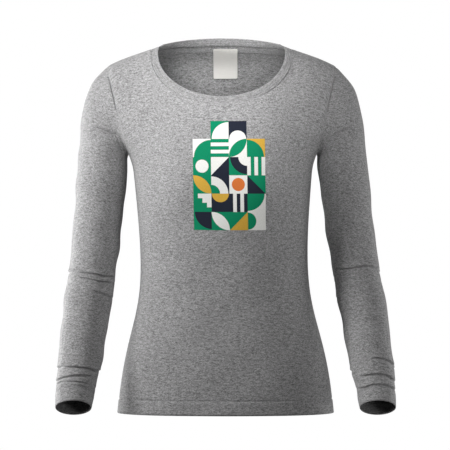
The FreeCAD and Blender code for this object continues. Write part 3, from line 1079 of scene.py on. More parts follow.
@dataclass(frozen=True)
class SatinFinish:
    """Woven satin of a label, with fine threads across it."""

    name: str
    colour: Colour
    weave: Grain = Grain(120.0, 900.0, 1.0, 0.5, 2.2)
    thread: float = 0.0004

    def make(self) -> bpy.types.Material:
        """Makes the material.

        Returns:
            The new material.
        """
        graph = Graph(bpy.data.materials.new(self.name))
        along, up = graph.cloth()
        thread = up.ridges(self.thread)
        shade = graph.noise(self.weave, along, up)
        colour = graph.mix(shade, tinted(self.colour, 0.94), tinted(self.colour, 1.05))
        normal = graph.bump(thread, 0.00006, 0.4)
        return graph.finish(Base_Color=colour, Roughness=0.5, Normal=normal, Specular_IOR_Level=0.4)


@dataclass(frozen=True)
class InkFinish:
    """Matt screen-print ink in one colour, with the knit's grain showing through."""

    name: str
    colour: Colour
    grain: Grain = Grain(500.0, 900.0, 2.0, 0.6, 3.1)

    def make(self) -> bpy.types.Material:
        """Makes the material.

        Returns:
            The new material.
        """
        graph = Graph(bpy.data.materials.new(self.name))
        grain = graph.noise(self.grain, *graph.cloth())
        colour = graph.mix(graph.ramp(grain, 0.3, 0.7), tinted(self.colour, 0.9), tinted(self.colour, 1.06))
        normal = graph.bump(grain, 0.0001, 0.3)
        return graph.finish(Base_Color=colour, Roughness=0.85, Normal=normal, Specular_IOR_Level=0.2)


@dataclass(frozen=True)
class ThreadFinish:
    """Plain sewing thread."""

    name: str
    colour: Colour

    def make(self) -> bpy.types.Material:
        """Makes the material."""
        graph = Graph(bpy.data.materials.new(self.name))
        return graph.finish(Base_Color=tinted(self.colour, 1.0), Roughness=0.7)


Finish = Union[KnitFinish, SatinFinish, InkFinish, ThreadFinish]

JERSEY = KnitFinish("heather_jersey", (0.27, 0.268, 0.27))
RIB = KnitFinish("heather_rib", (0.265, 0.263, 0.265), 0.56, 0.0015)
TAPE = KnitFinish("heather_tape", (0.27, 0.268, 0.27), 0.56)
LABEL = SatinFinish("label_satin", (0.66, 0.645, 0.615))
THREAD = ThreadFinish("grey_thread", (0.2, 0.2, 0.203))
INKS = (
    InkFinish("ink_green", (0.0, 0.215, 0.1)),
    InkFinish("ink_white", (0.74, 0.74, 0.71)),
    InkFinish("ink_navy", (0.012, 0.016, 0.03)),
    InkFinish("ink_ochre", (0.6, 0.36, 0.05)),
    InkFinish("ink_orange", (0.62, 0.16, 0.035)),
)


def dress(piece: bpy.types.Object, slot: str, finishes: Sequence[Finish], *nodes: str) -> bpy.types.Object:
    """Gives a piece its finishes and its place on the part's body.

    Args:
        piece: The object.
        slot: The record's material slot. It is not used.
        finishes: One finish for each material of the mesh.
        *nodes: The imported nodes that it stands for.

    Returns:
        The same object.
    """
    for finish in finishes:
        piece.data.materials.append(bpy.data.materials.get(finish.name) or finish.make())
    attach(piece, BODY)
    if nodes:
        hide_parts(*nodes)
    LOG.info("%s: %d faces", piece.name, len(piece.data.polygons))
    return piece


@dataclass
class Stitches:
    """Rows of short thread lengths that lie on the cloth.

    The pitch is how far apart they lie, and the thread is its radius. Each length is a closed
    run of rings, at places from one end to the other, whose middle rises by a share of the
    thread and whose ends sink into the cloth.
    """

    name: str
    pitch: float = 3.0
    thread: float = 0.3
    half_length: float = 0.37
    places: tuple[float, ...] = (-1.0, -0.72, 0.0, 0.72, 1.0)
    around: int = 6
    rise: float = 0.55
    sink: float = 1.3
    least_girth: float = 0.04
    mesh: MeshBuilder = field(init=False)
    faces: Grid = field(init=False)

    def __post_init__(self) -> None:
        """Lays out the faces that every length of thread has."""
        self.mesh = MeshBuilder(self.name)
        count = len(self.places)
        number = joined(np.arange(count * self.around).reshape(count, self.around), 1)
        sides = np.stack([k.ravel() for k in cells(number)], axis=-1)
        first = number[0, [0, 3, 2, 1]], number[0, [0, 5, 4, 3]]
        last = number[-1, [0, 1, 2, 3]], number[-1, [0, 3, 4, 5]]
        self.faces = np.concatenate([sides, first, last])

    def row(self, path: Grid, normals: Grid, closed: bool = True) -> None:
        """Adds a row of stitches along a path.

        Args:
            path: Places along the row.
            normals: Outward directions at them.
            closed: Whether the row runs on to its first place.
        """
        if closed:
            path, normals = joined(path), joined(normals)
        count = int(run_length(path)[-1] / self.pitch)
        dense, facing = evenly(path, count * 4 + 1, [normals])
        middle, ahead = dense[2::4][:count], unit(dense[3::4][:count] - dense[1::4][:count])
        up = unit(facing[2::4][:count])
        side = unit(np.cross(ahead, up))
        turns = np.linspace(0, 2 * math.pi, self.around, endpoint=False)
        for station in range(count):
            rings = []
            for place in self.places:
                girth = self.thread * math.sqrt(max(self.least_girth, 1 - place**4))
                height = self.thread * (self.rise - self.sink * place * place)
                reach = place * self.pitch * self.half_length
                centre = middle[station] + ahead[station] * reach + up[station] * height
                ring = np.outer(np.cos(turns), side[station]) + np.outer(np.sin(turns), up[station])
                rings.append(centre + ring * girth)
            corners = np.zeros((len(self.faces), 4, 2))
            self.mesh.add(np.concatenate(rings), self.faces, corners, np.zeros(len(self.faces), bool))

    def build(self, slot: str) -> bpy.types.Object:
        """Makes the object and dresses it."""
        return dress(self.mesh.build(), slot, [THREAD])


@dataclass(frozen=True)
class Panel:
    """The front or the back panel, from the neckband's seam to the hem.

    Its grid runs down from the shoulder seams and the neckline. Rows lie closer together at the
    hem's seam, which draws the cloth in, and the hem below it stands a little proud.
    """

    torso: TorsoForm
    side: Side
    rows: int = 221
    columns: int = 181
    shoulder_columns: int = 30
    fine: int = 6000
    crowd: float = 2.2
    crowd_reach: float = 9.0
    straight_share: float = 0.45
    armhole_end: Pair = (196.0, 178.0)
    side_dip: float = 0.12
    armhole_dip: float = 0.68
    top_dip: float = 1.2
    hem_swell: float = 0.5
    hem_swell_drops: Pair = (592.0, 602.0)
    hem_groove: float = 1.1
    hem_groove_width: float = 1.9

    def top_line(self, dense: int = 600) -> tuple[Grid, Grid]:
        """Follows both shoulder seams and the neckline between them.

        Args:
            dense: How many places a shoulder is sampled at first.

        Returns:
            Places across, and drops.
        """
        drop = np.linspace(self.torso.tip[1], self.torso.neck_drop, dense)
        shoulder = self.torso.smooth(self.side, np.zeros(dense), drop)
        count = self.shoulder_columns + 1
        _, across, drop = evenly(shoulder, count, [self.torso.half_width(drop), drop])
        line = SEAM_LINE[self.side].line()
        turn = self.torso.turn_at(line[:, 0], -line[:, 1])
        edge = self.torso.smooth(self.side, turn, -line[:, 1])
        _, line = evenly(edge, self.columns - 2 * self.shoulder_columns, [line])
        x = np.concatenate([across[:-1], line[:, 0], -across[-2::-1]])
        return x, np.concatenate([drop[:-1], -line[:, 1], drop[-2::-1]])

    def side_drops(self) -> Grid:
        """Spaces the rows along the armhole and the side seam.

        Returns:
            The drop of each row at the panel's sides, with one row at the underarm.
        """
        start, under = self.torso.tip[1], self.torso.underarm[1]
        drops = start + (HEM_END - start) * np.linspace(0, 1, self.fine) ** 2
        turn = self.torso.turn_at(self.torso.armhole_x(drops), drops)
        turn = np.where((drops > start) & (drops < under), turn, 0.0)
        spread = evenly(self.torso.smooth(self.side, turn, drops), self.fine, [drops])[1]
        drops = crowded(spread, 1 + self.crowd * bell(spread - HEM_SEAM, self.crowd_reach, 4), self.rows)
        drops[np.argmin(np.abs(drops - under))] = under
        return drops

    def layout(self) -> tuple[Grid, Grid]:
        """Lays out the panel's grid, row by row from the shoulders and the neckline.

        Returns:
            Turns and drops.
        """
        start = self.torso.tip[1]
        down = ((self.side_drops() - start) / (HEM_END - start))[:, None]
        top_x, top_drop = self.top_line()
        top_share = top_x / self.torso.armhole_x(top_drop)
        turns = np.linspace(0, math.pi, FORM_SAMPLES)
        hem = self.torso.smooth(self.side, turns, np.full(FORM_SAMPLES, HEM_END))
        hem_share = evenly(hem, self.columns, [hem[:, 0]])[1] / self.torso.half_width(np.array(HEM_END))
        straight = smoothstep(0, self.straight_share, down)
        drop = (1 - down) * top_drop + down * HEM_END
        share = (1 - straight) * top_share + straight * hem_share
        share[:, 0], share[:, -1] = 1.0, -1.0
        share[0] = top_share
        return self.torso.turn_at(self.torso.limit(drop) * share, drop), drop

    def relief(self, plain: Grid, drop: Grid) -> Grid:
        """Works out how the seams draw the cloth in and the doubled hem lifts it.

        Args:
            plain: The grid's places on the plain form.
            drop: Its drops.

        Returns:
            The lift at each place.
        """
        from_left = run_length(plain, 1)
        to_side = np.minimum(from_left, from_left[:, -1:] - from_left)
        sides = self.side_dip + self.armhole_dip * smoothstep(*self.armhole_end, drop)
        dip = SEAM.at(to_side) * sides + self.top_dip * SEAM.at(run_length(plain))
        swell = self.hem_swell * smoothstep(*self.hem_swell_drops, drop)
        return dip + (swell - self.hem_groove * bell(drop - HEM_SEAM, self.hem_groove_width))

    def build(self) -> bpy.types.Object:
        """Makes the panel.

        Returns:
            The panel.
        """
        turn, drop = self.layout()
        plain = self.torso.smooth(self.side, turn, drop)
        outer = self.torso.cloth(self.side, turn, drop, self.relief(plain, drop))
        normals = grid_normals(outer) * -self.side.value
        edges = np.array([0, -1])
        normals[:, edges] = self.torso.outward(self.side, turn[:, edges], drop[:, edges])
        node = f"{self.side.name.lower()}_panel"
        mesh = MeshBuilder(f"{node}_cloth")
        mesh.slab(outer, outer - normals * PLY)
        piece = dress(mesh.build(), "jersey", [JERSEY], node)
        return piece


def turned_up(outer: Grid, normals: Grid) -> Grid:
    """Draws a turned-up edge: an inner ply and a rounded fold that closes below the outer ply.

    Args:
        outer: Rows of the outer ply's outer face, from the turn-up's raw edge down.
        normals: Outward directions at them.

    Returns:
        Profile points by path points.
    """
    down = unit(outer[-1] - outer[-2])
    near, far = PLY + PLY_GAP, 2 * PLY + PLY_GAP
    lip = ((-0.12, 0.05), (-0.2, 0.45), (-0.65, 0.8), (-1.25, 0.8), (-1.7, 0.45))
    hollow = ((-1.12, 0.02), (-0.7, 0.12))
    last, facing = outer[-1], normals[-1]
    profile = [last + facing * out + down * below for out, below in lip]
    profile += [row - side * far for row, side in zip(outer[::-1], normals[::-1])]
    profile += [row - side * near for row, side in zip(outer[:-1], normals[:-1])]
    profile += [last + facing * out + down * below for out, below in hollow]
    return np.array(profile)


@dataclass(frozen=True)
class BottomHem:
    """The turned-up hem inside both panels, with its two rows of stitches."""

    torso: TorsoForm
    height: float = 25.0
    rows: int = 9
    columns: int = 160
    offset: float = 0.35
    stitch_drops: Pair = (HEM_SEAM - 1.4, HEM_SEAM + 1.6)
    stitch_offset: float = -0.55

    def loop(self, drops: Grid, offset: float) -> tuple[Grid, Grid]:
        """Runs rows of points right round the torso.

        Args:
            drops: The rows' drops.
            offset: How far outside the cloth's face they lie.

        Returns:
            Rows of points, and their outward directions.
        """
        turn = np.linspace(0, math.pi, FORM_SAMPLES)
        rows = []
        facing = []
        for side in Side:
            line = self.torso.smooth(side, turn, np.full(FORM_SAMPLES, drops[-1]))
            even = evenly(line, self.columns + 1, [turn])[1][:: -side.value][:-1]
            across, down = np.meshgrid(even, drops)
            rows.append(self.torso.cloth(side, across, down, offset))
            facing.append(self.torso.outward(side, across, down))
        return np.concatenate(rows, axis=1), np.concatenate(facing, axis=1)

    def build(self) -> bpy.types.Object:
        """Makes the hem and its stitches.

        Returns:
            The hem.
        """
        drops = np.linspace(HEM_END - self.height, HEM_END, self.rows)
        mesh = MeshBuilder("bottom_hem_cloth")
        mesh.ring(turned_up(*self.loop(drops, self.offset)))
        piece = dress(mesh.build(), "jersey", [JERSEY], "bottom_hem")
        stitches = Stitches("bottom_hem_stitches")
        for drop in self.stitch_drops:
            path, facing = self.loop(np.array([drop]), self.stitch_offset)
            stitches.row(path[0], facing[0])
        stitches.build("jersey")
        return piece


@dataclass(frozen=True)
class Sleeve:
    """A long sleeve, its cuff hem and the stitches of the hem."""

    form: SleeveForm
    hand: Hand
    rows: int = 391
    around: int = 124
    cuff_height: float = 29.0
    seam_height: float = 25.0
    cuff_swell: float = 0.4
    cuff_swell_reach: Pair = (5.0, -1.0)
    groove: float = 0.9
    groove_width: float = 2.2
    stitch_places: Pair = (1.4, -1.6)
    stitch_offset: float = 0.15

    def build(self) -> bpy.types.Object:
        """Makes the sleeve, its cuff hem and its stitches.

        Returns:
            The sleeve.
        """
        name = self.hand.name.lower()
        turns = np.linspace(0, 2 * math.pi, self.around, endpoint=False)
        along, turn = np.meshgrid(self.form.stations(self.rows), turns, indexing="ij")
        outer, normals = self.form.cloth(self.hand, turn, along)
        left = self.form.length - along
        start, end = self.cuff_swell_reach
        swell = smoothstep(self.seam_height + start, self.seam_height + end, left)
        dip = SEAM.at(along) + self.cuff_swell * swell
        dip = dip - self.groove * bell(left - self.seam_height, self.groove_width)
        outer = outer + normals * dip[..., None]
        mesh = MeshBuilder(f"sleeve_{name}_cloth")
        mesh.slab(outer, outer - normals * PLY, closed=True)
        piece = dress(mesh.build(), "jersey", [JERSEY], f"sleeve_{name}")
        self.cuff(name, outer, normals, left[:, 0])
        stitches = Stitches(f"cuff_stitches_{name}")
        for place in self.stitch_places:
            row = int(np.argmin(np.abs(left[:, 0] - (self.seam_height + place))))
            stitches.row(outer[row] + normals[row] * self.stitch_offset, normals[row])
        stitches.build("jersey")
        return piece

    def cuff(self, name: str, outer: Grid, normals: Grid, left: Grid) -> None:
        """Makes the turned-up hem inside the sleeve's end.

        Args:
            name: Left or right.
            outer: The sleeve's outer face.
            normals: Its outward directions.
            left: How much of the sleeve is left below each row.
        """
        first = int(np.argmin(np.abs(left - self.cuff_height)))
        mesh = MeshBuilder(f"cuff_hem_{name}_cloth")
        mesh.ring(turned_up(outer[first::2], normals[first::2]))
        piece = dress(mesh.build(), "jersey", [JERSEY], f"cuff_hem_{name}")


@dataclass(frozen=True)
class Neckband:
    """The doubled rib band round the neck, with its rolled edge and its rows of stitches."""

    torso: TorsoForm
    width: float = 14.0
    thick: float = 1.6
    columns: int = 560
    outer_rows: int = 44
    roll: float = 0.9
    inner_places: tuple[float, ...] = (0.9, 4.0, 8.0, 11.0, 14.0)
    rise: float = 0.12
    seam_depth: float = 0.85
    seam_width: float = 1.3
    stitch_lines: Pair = (6.6, 10.4)
    stitch_depth: float = 0.5
    stitch_width: float = 0.75
    stitch_offset: float = -0.42

    def profile(self) -> list[Pair]:
        """Draws the band's section: its outer face, its rolled edge and its inner face.

        Returns:
            How far from the free edge and how far out each point lies.
        """
        points = []
        for from_edge in np.linspace(self.width, self.roll, self.outer_rows):
            out = self.rise - self.seam_depth * bell(self.width - from_edge, self.seam_width)
            for line in self.stitch_lines:
                out -= self.stitch_depth * bell(from_edge - line, self.stitch_width)
            points.append((float(from_edge), float(out)))
        radius = self.thick / 2
        for turn in np.linspace(0.2 * math.pi, 0.8 * math.pi, 5):
            out = -radius + (radius + 0.1) * math.cos(turn)
            points.append((self.roll - self.roll * math.sin(turn), out))
        points.extend((from_edge, -self.thick) for from_edge in self.inner_places)
        return points

    def at(self, from_edge: float, out: float) -> tuple[Grid, Grid]:
        """Runs a line right round the band at one place of its section.

        Args:
            from_edge: How far from the free edge the line lies.
            out: How far out it lies.

        Returns:
            Places along the line, and their outward directions.
        """
        points = []
        facing = []
        for side in Side:
            seam, edge = SEAM_LINE[side].line(), EDGE_LINE[side].line()
            middle = (seam + edge) / 2
            base = self.torso.smooth(side, self.torso.turn_at(middle[:, 0], -middle[:, 1]), -middle[:, 1])
            line = edge + (seam - edge) * (from_edge / self.width)
            line = evenly(base, self.columns // 2 + 1, [line])[1][:: -side.value][:-1]
            turn = self.torso.turn_at(line[:, 0], -line[:, 1])
            points.append(self.torso.smooth(side, turn, -line[:, 1]))
            facing.append(self.torso.outward(side, turn, -line[:, 1]))
        return np.concatenate(points) + np.concatenate(facing) * out, np.concatenate(facing)

    def build(self) -> bpy.types.Object:
        """Makes the band and its stitches.

        Returns:
            The band.
        """
        mesh = MeshBuilder("neckband_rib")
        mesh.ring(np.array([self.at(*place)[0] for place in self.profile()]))
        piece = dress(mesh.build(), "rib", [RIB], "neckband")
        stitches = Stitches("neckband_stitches", 2.6, 0.26)
        for line in self.stitch_lines:
            stitches.row(*self.at(line, self.stitch_offset))
        stitches.build("rib")
        return piece


def back_slab(
    torso: TorsoForm, name: str, turn: Grid, drop: Grid, near: Grid, far: Grid
) -> bpy.types.Object:
    """Lays a ply of cloth between two depths inside the back's outer face.

    Args:
        torso: The worn torso.
        name: The object's name.
        turn: Turns of its grid.
        drop: Drops of its grid.
        near: The depth of its face towards the back panel.
        far: The depth of its other face.

    Returns:
        The ply.
    """
    mesh = MeshBuilder(name)
    outer, inner = (torso.cloth(Side.BACK, turn, drop, -depth) for depth in (near, far))
    mesh.slab(outer, inner)
    return mesh.build()


@dataclass(frozen=True)
class SeamAllowance:
    """The sewn edges inside a side seam or a shoulder seam, pressed to the back."""

    torso: TorsoForm
    seam: Seam
    hand: Hand
    rows: int = 90
    inwards: Pair = (0.6, 6.8)
    columns: int = 7
    depths: Pair = (1.35, 2.6)
    cut_width: float = 0.0066

    def build(self) -> bpy.types.Object:
        """Makes one strip of sewn edges.

        Returns:
            The strip.
        """
        across = np.linspace(*self.inwards, self.columns)
        drop, inwards = np.meshgrid(np.linspace(*self.seam.value, self.rows), across, indexing="ij")
        turn = np.arcsin((inwards / self.torso.depth[Side.BACK](drop)) ** (self.torso.power / 2))
        if self.hand is Hand.RIGHT:
            turn = math.pi - turn
        name = f"{self.seam.name}_allowance_{self.hand.name}".lower()
        piece = back_slab(self.torso, f"{name}_cloth", turn, drop, *self.depths)
        dress(piece, "jersey", [JERSEY], name)
        middle = self.columns // 2
        long = run_length(self.torso.smooth(Side.BACK, turn[:, middle], drop[:, middle]))[-1] * MM
        return piece


@dataclass(frozen=True)
class NeckTape:
    """The tape under the back neck seam."""

    torso: TorsoForm
    half_width: float = 117.5
    columns: int = 141
    below_seam: tuple[float, ...] = (0.9, 1.4, 3.0, 5.0, 7.0, 8.6, 9.4)
    depths: Pair = (1.0, 1.3)

    def build(self) -> bpy.types.Object:
        """Makes the tape.

        Returns:
            The tape.
        """
        line = SEAM_LINE[Side.BACK].line()
        line = line[np.abs(line[:, 0]) < self.half_width]
        places, wanted = np.linspace(0, 1, len(line)), np.linspace(0, 1, self.columns)
        x, z = (np.interp(wanted, places, column) for column in line.T)
        drop = -z + np.array(self.below_seam)[:, None]
        turn = self.torso.turn_at(np.broadcast_to(x, drop.shape), drop)
        piece = back_slab(self.torso, "neck_tape_cloth", turn, drop, *self.depths)
        dress(piece, "tape", [TAPE], "neck_tape")
        return piece


@dataclass(frozen=True)
class NeckLabel:
    """The bare woven label inside the back neck, sewn along its top edge.

    Its corners are rounded, and its lower half stands off the back panel.
    """

    torso: TorsoForm
    width: float = 42.0
    height: float = 49.4
    shift: float = 6.5
    thick: float = 0.4
    corner: float = 1.5
    columns: int = 31
    rows: int = 26
    depth: float = 2.45
    seam_drop: float = 3.0
    wave: float = 0.25
    wave_length: float = 9.0
    wave_drops: Pair = (8.0, 30.0)
    stand_off: float = 0.8
    stand_off_drops: Pair = (30.0, 51.0)

    def build(self) -> bpy.types.Object:
        """Makes the label and its stitches.

        Returns:
            The label.
        """
        ends = np.array([0.0, 0.15, 0.45, 0.9, self.corner])
        between = np.linspace(self.seam_drop, self.height - self.seam_drop, self.rows)
        down = np.concatenate([ends, between, self.height - ends[::-1]])
        nearest = np.clip(np.minimum(down, self.height - down), 0, self.corner)
        cut_in = self.corner - np.sqrt(self.corner**2 - (self.corner - nearest) ** 2)
        half = self.width / 2 - cut_in
        x = self.shift + half[:, None] * np.linspace(1, -1, self.columns)
        drop = np.broadcast_to(down[:, None], x.shape)
        turn = self.torso.turn_at(x, drop)
        wave = self.wave * np.sin(drop / self.wave_length) * smoothstep(*self.wave_drops, drop)
        off = self.depth + wave + self.stand_off * smoothstep(*self.stand_off_drops, drop)
        piece = back_slab(self.torso, "neck_label_satin", turn, drop, off, off + self.thick)
        dress(piece, "label", [LABEL], "neck_label")
        self.stitch(turn[len(ends), 1:-1], drop[len(ends), 1:-1], off[len(ends), 1:-1])
        return piece

    def stitch(self, turn: Grid, drop: Grid, off: Grid) -> None:
        """Sews the label along its top edge.

        Args:
            turn: Turns of the seam.
            drop: Drops of the seam.
            off: The depth of the label's far face there.
        """
        path = self.torso.cloth(Side.BACK, turn, drop, -off - self.thick)
        stitches = Stitches("neck_label_stitches", 2.2, 0.2)
        stitches.row(path, np.broadcast_to(np.array([0.0, -1.0, 0.0]), path.shape), closed=False)
        stitches.build("label")


Outline = list[Pair]


class Motif(Enum):
    """What a tile of the print shows."""

    QUARTER = "quarter disc"
    NEST = "quarter ring and quarter disc"
    HALF = "half disc"
    DISC = "disc"
    LEAF = "leaf"
    SPLIT = "two triangles"
    BARS = "bars"
    STEPS = "steps"


@dataclass(frozen=True)
class Tile:
    """One tile of the print: its motif, its inks and how many quarter turns it is given."""

    motif: Motif
    inks: tuple[int, ...]
    turns: int = 0


GREEN, WHITE, NAVY, OCHRE, ORANGE = range(len(INKS))
LAYOUT = (
    (
        None,
        Tile(Motif.QUARTER, (WHITE, GREEN), 1),
        Tile(Motif.HALF, (WHITE, NAVY)),
        None,
    ),
    (
        Tile(Motif.QUARTER, (GREEN, WHITE), 1),
        Tile(Motif.BARS, (GREEN, WHITE)),
        Tile(Motif.LEAF, (GREEN, WHITE)),
        Tile(Motif.QUARTER, (GREEN, OCHRE)),
    ),
    (
        Tile(Motif.DISC, (WHITE, GREEN)),
        Tile(Motif.SPLIT, (NAVY, WHITE)),
        Tile(Motif.NEST, (WHITE, NAVY, GREEN), 2),
        Tile(Motif.BARS, (WHITE, GREEN), 1),
    ),
    (
        Tile(Motif.LEAF, (OCHRE, GREEN), 1),
        Tile(Motif.NEST, (GREEN, WHITE, NAVY)),
        Tile(Motif.DISC, (ORANGE, WHITE)),
        Tile(Motif.SPLIT, (GREEN, NAVY), 1),
    ),
    (
        Tile(Motif.STEPS, (GREEN, WHITE)),
        Tile(Motif.HALF, (OCHRE, NAVY), 2),
        Tile(Motif.BARS, (NAVY, WHITE), 1),
        Tile(Motif.QUARTER, (GREEN, WHITE), 3),
    ),
    (
        Tile(Motif.QUARTER, (NAVY, GREEN), 2),
        Tile(Motif.LEAF, (WHITE, GREEN), 1),
        Tile(Motif.SPLIT, (OCHRE, GREEN)),
        Tile(Motif.HALF, (GREEN, WHITE), 3),
    ),
)


def arc(centre: Pair, radius: float, start: float, end: float) -> Outline:
    """Draws an arc.

    Args:
        centre: Its centre.
        radius: Its radius.
        start: Where it starts, in quarter turns.
        end: Where it ends.

    Returns:
        Points along it.
    """
    steps = max(4, int(abs(end - start) * 14))
    turns = np.linspace(start, end, steps + 1) * math.pi / 2
    return [(centre[0] + radius * math.cos(t), centre[1] + radius * math.sin(t)) for t in turns]


def motif_shapes() -> dict[Motif, list[tuple[int, Outline]]]:
    """Draws every motif in a unit tile.

    Returns:
        For each motif its shapes, without overlaps, each with the number of its ink.
    """
    corner = [(1, 0), (1, 1), (0, 1)]
    quarter, small = arc((0, 0), 0.94, 0, 1), arc((0, 0), 0.48, 0, 1)
    dome = arc((0.5, 0), 0.47, 0, 2)
    right, left = arc((0.5, 0.5), 0.36, -1, 1), arc((0.5, 0.5), 0.36, 1, 3)
    lower, upper = arc((0, 1), 1, -1, 0), arc((1, 0), 1, 1, 2)
    bars = np.linspace(0, 1, 6)
    stair = [(1, 0.25), (0.75, 0.25), (0.75, 0.5), (0.5, 0.5), (0.5, 0.75), (0.25, 0.75), (0.25, 1)]
    rest = (1, corner + quarter[::-1])
    return {
        Motif.QUARTER: [(0, [(0, 0)] + quarter), rest],
        Motif.NEST: [(0, [(0, 0)] + small), (1, quarter + small[::-1]), (2, rest[1])],
        Motif.HALF: [(0, dome), (1, corner + [(0, 0)] + dome[::-1])],
        Motif.DISC: [
            (0, right + left[1:-1]),
            (1, [(0.5, 0), (1, 0), (1, 1), (0.5, 1)] + right[::-1]),
            (1, [(0.5, 1), (0, 1), (0, 0), (0.5, 0)] + left[::-1]),
        ],
        Motif.LEAF: [(0, lower + upper[1:-1]), (1, [(1, 0)] + lower[::-1]), (1, [(0, 1)] + upper[::-1])],
        Motif.SPLIT: [(0, [(0, 0), (1, 0), (1, 1)]), (1, [(0, 0), (1, 1), (0, 1)])],
        Motif.BARS: [
            (k % 2, [(0, low), (1, low), (1, high), (0, high)])
            for k, (low, high) in enumerate(zip(bars, bars[1:]))
        ],
        Motif.STEPS: [(0, [(0, 0), (1, 0)] + stair + [(0, 1)]), (1, [(1, 1)] + stair[::-1])],
    }


@dataclass(frozen=True)
class ChestPrint:
    """A generic print of abstract tiles, laid in ink on the front panel.

    The flat print is cut into small cells along both ways, so that it can follow the chest.
    """

    torso: TorsoForm
    width: float = 120.0
    height: float = 182.0
    top: float = 130.0
    shift: float = 10.6
    cell: float = 4.0
    cuts_across: Pair = (-60.0, 70.0)
    cuts_up: Pair = (-316.0, -126.0)
    under: float = 0.06
    thick: float = 0.3

    def polygons(self) -> list[tuple[int, Outline]]:
        """Places every shape of the print.

        Returns:
            Each shape's ink and its outline across and up the chest.
        """
        shapes = motif_shapes()
        wide, high = self.width / len(LAYOUT[0]), self.height / len(LAYOUT)
        found = []
        for row, tiles in enumerate(LAYOUT):
            for column, tile in enumerate(tiles):
                if tile is None:
                    continue
                left = self.shift - self.width / 2 + column * wide
                low = -self.top - (row + 1) * high
                for ink, turned in shapes[tile.motif]:
                    for _ in range(tile.turns):
                        turned = [(1 - v, u) for u, v in turned]
                    found.append((tile.inks[ink], [(left + u * wide, low + v * high) for u, v in turned]))
        return found

    def flat(self) -> bmesh.types.BMesh:
        """Lays the print out flat and cuts it into cells.

        Returns:
            The flat print, with places across along X and heights along Z.
        """
        shape = bmesh.new()
        for ink, outline in self.polygons():
            face = shape.faces.new([shape.verts.new((x, 0, z)) for x, z in outline])
            face.material_index = ink
        for way, ends in ((Vector((1, 0, 0)), self.cuts_across), (Vector((0, 0, 1)), self.cuts_up)):
            for place in np.arange(*ends, self.cell):
                items = shape.verts[:] + shape.edges[:] + shape.faces[:]
                bmesh.ops.bisect_plane(shape, geom=items, plane_co=way * float(place), plane_no=way)
        bmesh.ops.triangulate(shape, faces=shape.faces[:], ngon_method="EAR_CLIP")
        return shape

    def build(self) -> bpy.types.Object:
        """Makes the print.

        Returns:
            The print.
        """
        shape = self.flat()
        under = shape.verts[:]
        raised = bmesh.ops.extrude_face_region(shape, geom=shape.faces[:])["geom"]
        tops = {item for item in raised if isinstance(item, bmesh.types.BMVert)}
        vertices = under + list(tops)
        x, z = np.array([[vertex.co.x, vertex.co.z] for vertex in vertices]).T
        offset = np.array([self.thick if vertex in tops else self.under for vertex in vertices])
        turn = self.torso.turn_at(x, -z)
        places = MeshBuilder.swayed(self.torso.cloth(Side.FRONT, turn, -z, offset)) * MM
        layer = shape.loops.layers.uv.new("Cloth")
        for face in shape.faces:
            for loop in face.loops:
                loop[layer].uv = loop.vert.co.x * MM, loop.vert.co.z * MM
        for vertex, place in zip(vertices, places):
            vertex.co = place
        bmesh.ops.recalc_face_normals(shape, faces=shape.faces[:])
        mesh = bpy.data.meshes.new("chest_print_ink")
        shape.to_mesh(mesh)
        shape.free()
        return dress(linked("chest_print_ink", mesh), "print", INKS, "chest_print")


@dataclass(frozen=True)
class Lamp:
    """A soft rectangular lamp: its place, size and power, what it looks at and its beam's angle."""

    name: str
    place: tuple[float, float, float]
    size: Pair
    power: float
    aim: tuple[float, float, float] = (0.0, 0.0, -0.3)
    beam: float = 180.0

    def build(self) -> None:
        """Hangs the lamp so that it looks at its aim."""
        data = bpy.data.lights.new(self.name, "AREA")
        data.shape = "RECTANGLE"
        data.size, data.size_y = self.size
        data.energy = self.power
        data.spread = math.radians(self.beam)
        item = linked(self.name, data)
        item.location = self.place
        aim = Vector(self.aim) - Vector(self.place)
        item.rotation_euler = aim.to_track_quat("-Z", "Y").to_euler()


LAMPS = (
    Lamp("left_lamp", (-2.8, -0.5, 0.5), (0.9, 1.4), 12.0),
    Lamp("front_left_lamp", (-2.72, -0.99, 0.48), (0.9, 1.4), 84.0),
    Lamp("low_left_lamp", (-2.8, 0.15, -0.7), (0.9, 0.5), 16.0),
    Lamp("right_lamp", (2.8, 0.0, 0.3), (0.9, 1.4), 17.0),
    Lamp("front_right_lamp", (2.0, -2.4, 0.9), (0.9, 0.9), 18.5),
    Lamp("low_right_lamp", (2.2, -1.6, -0.9), (0.9, 0.9), 10.0),
    Lamp("chest_lamp", (-0.3, -0.9, 0.2), (0.3, 0.3), 0.2, (-0.1, -0.1, -0.08), 36.0),
    Lamp("breast_lamp", (-1.3, -2.6, 0.7), (0.6, 0.6), 0.3, (-0.12, -0.1, -0.14), 18.0),
    Lamp("neck_lamp", (-0.15, -0.45, 0.35), (0.2, 0.2), 0.12, (0.0, 0.04, -0.06), 34.0),
    Lamp("label_lamp", (0.15, -1.6, -0.25), (0.3, 0.3), 0.11, (0.0, 0.04, -0.05), 14.0),
    Lamp("left_edge_lamp", (-0.9, 0.45, -0.62), (0.3, 0.3), 9.5),
    Lamp("right_edge_lamp", (0.9, 0.45, -0.62), (0.3, 0.3), 3.0),
)


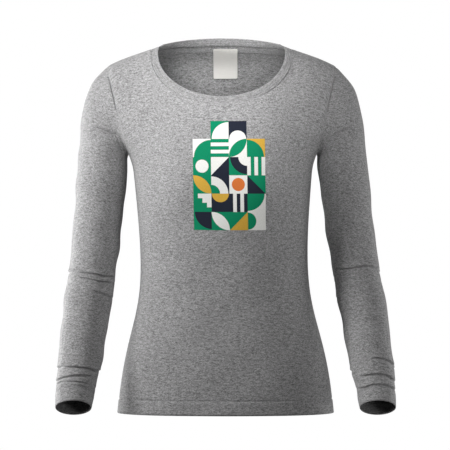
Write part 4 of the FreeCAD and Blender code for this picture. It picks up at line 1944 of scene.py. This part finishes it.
@dataclass(frozen=True)
class Studio:
    """The camera, the lamps and the white background.

    The frame is how wide the picture reaches at the top, in metres.
    """

    camera_place: tuple[float, float, float] = (-0.00085, -5.0, -0.3035)
    frame: float = 0.765
    sensor: float = 36.0
    world_light: float = 0.03

    def build(self) -> None:
        """Sets up the camera, the lamps and the world."""
        scene = bpy.context.scene
        scene.view_settings.view_transform = "Standard"
        lens = bpy.data.cameras.new("photo_camera")
        lens.sensor_width = self.sensor
        lens.lens = self.sensor * -self.camera_place[1] / self.frame
        lens.clip_start, lens.clip_end = 0.1, 50.0
        camera = linked("photo_camera", lens)
        camera.location = self.camera_place
        camera.rotation_euler = (math.pi / 2, 0.0, 0.0)
        scene.camera = camera
        for lamp in LAMPS:
            lamp.build()
        self.world()

    def world(self) -> None:
        """Shows white to the camera and lights the top weakly from all round."""
        graph = Graph(bpy.data.worlds.new("studio"))
        bpy.context.scene.world = graph.owner
        white = (1.0, 1.0, 1.0, 1.0)
        path = graph.node("ShaderNodeLightPath")
        seen = graph.node("ShaderNodeBackground", {"Color": white, "Strength": 1.0})
        dim = graph.node("ShaderNodeBackground", {"Color": white, "Strength": self.world_light})
        sockets = {0: path.outputs["Is Camera Ray"], 1: dim.outputs[0], 2: seen.outputs[0]}
        mixed = graph.node("ShaderNodeMixShader", sockets)
        graph.node("ShaderNodeOutputWorld", {0: mixed.outputs[0]})


def reach() -> list[list[float]]:
    """The lowest and highest corner of what is shown, as plain lists."""
    return [list(corner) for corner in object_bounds()]


def main() -> None:
    """Builds every piece of the top and the studio round it."""
    logging.basicConfig(level=logging.INFO, format="%(name)s: %(message)s")
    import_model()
    torso = TorsoForm()
    sleeves = SleeveForm(torso)
    for side in Side:
        Panel(torso, side).build()
    for hand in Hand:
        Sleeve(sleeves, hand).build()
    BottomHem(torso).build()
    Neckband(torso).build()
    NeckTape(torso).build()
    NeckLabel(torso).build()
    for hand in Hand:
        for seam in Seam:
            SeamAllowance(torso, seam, hand).build()
    ChestPrint(torso).build()
    Studio().build()


if __name__ == "__main__":
    main()
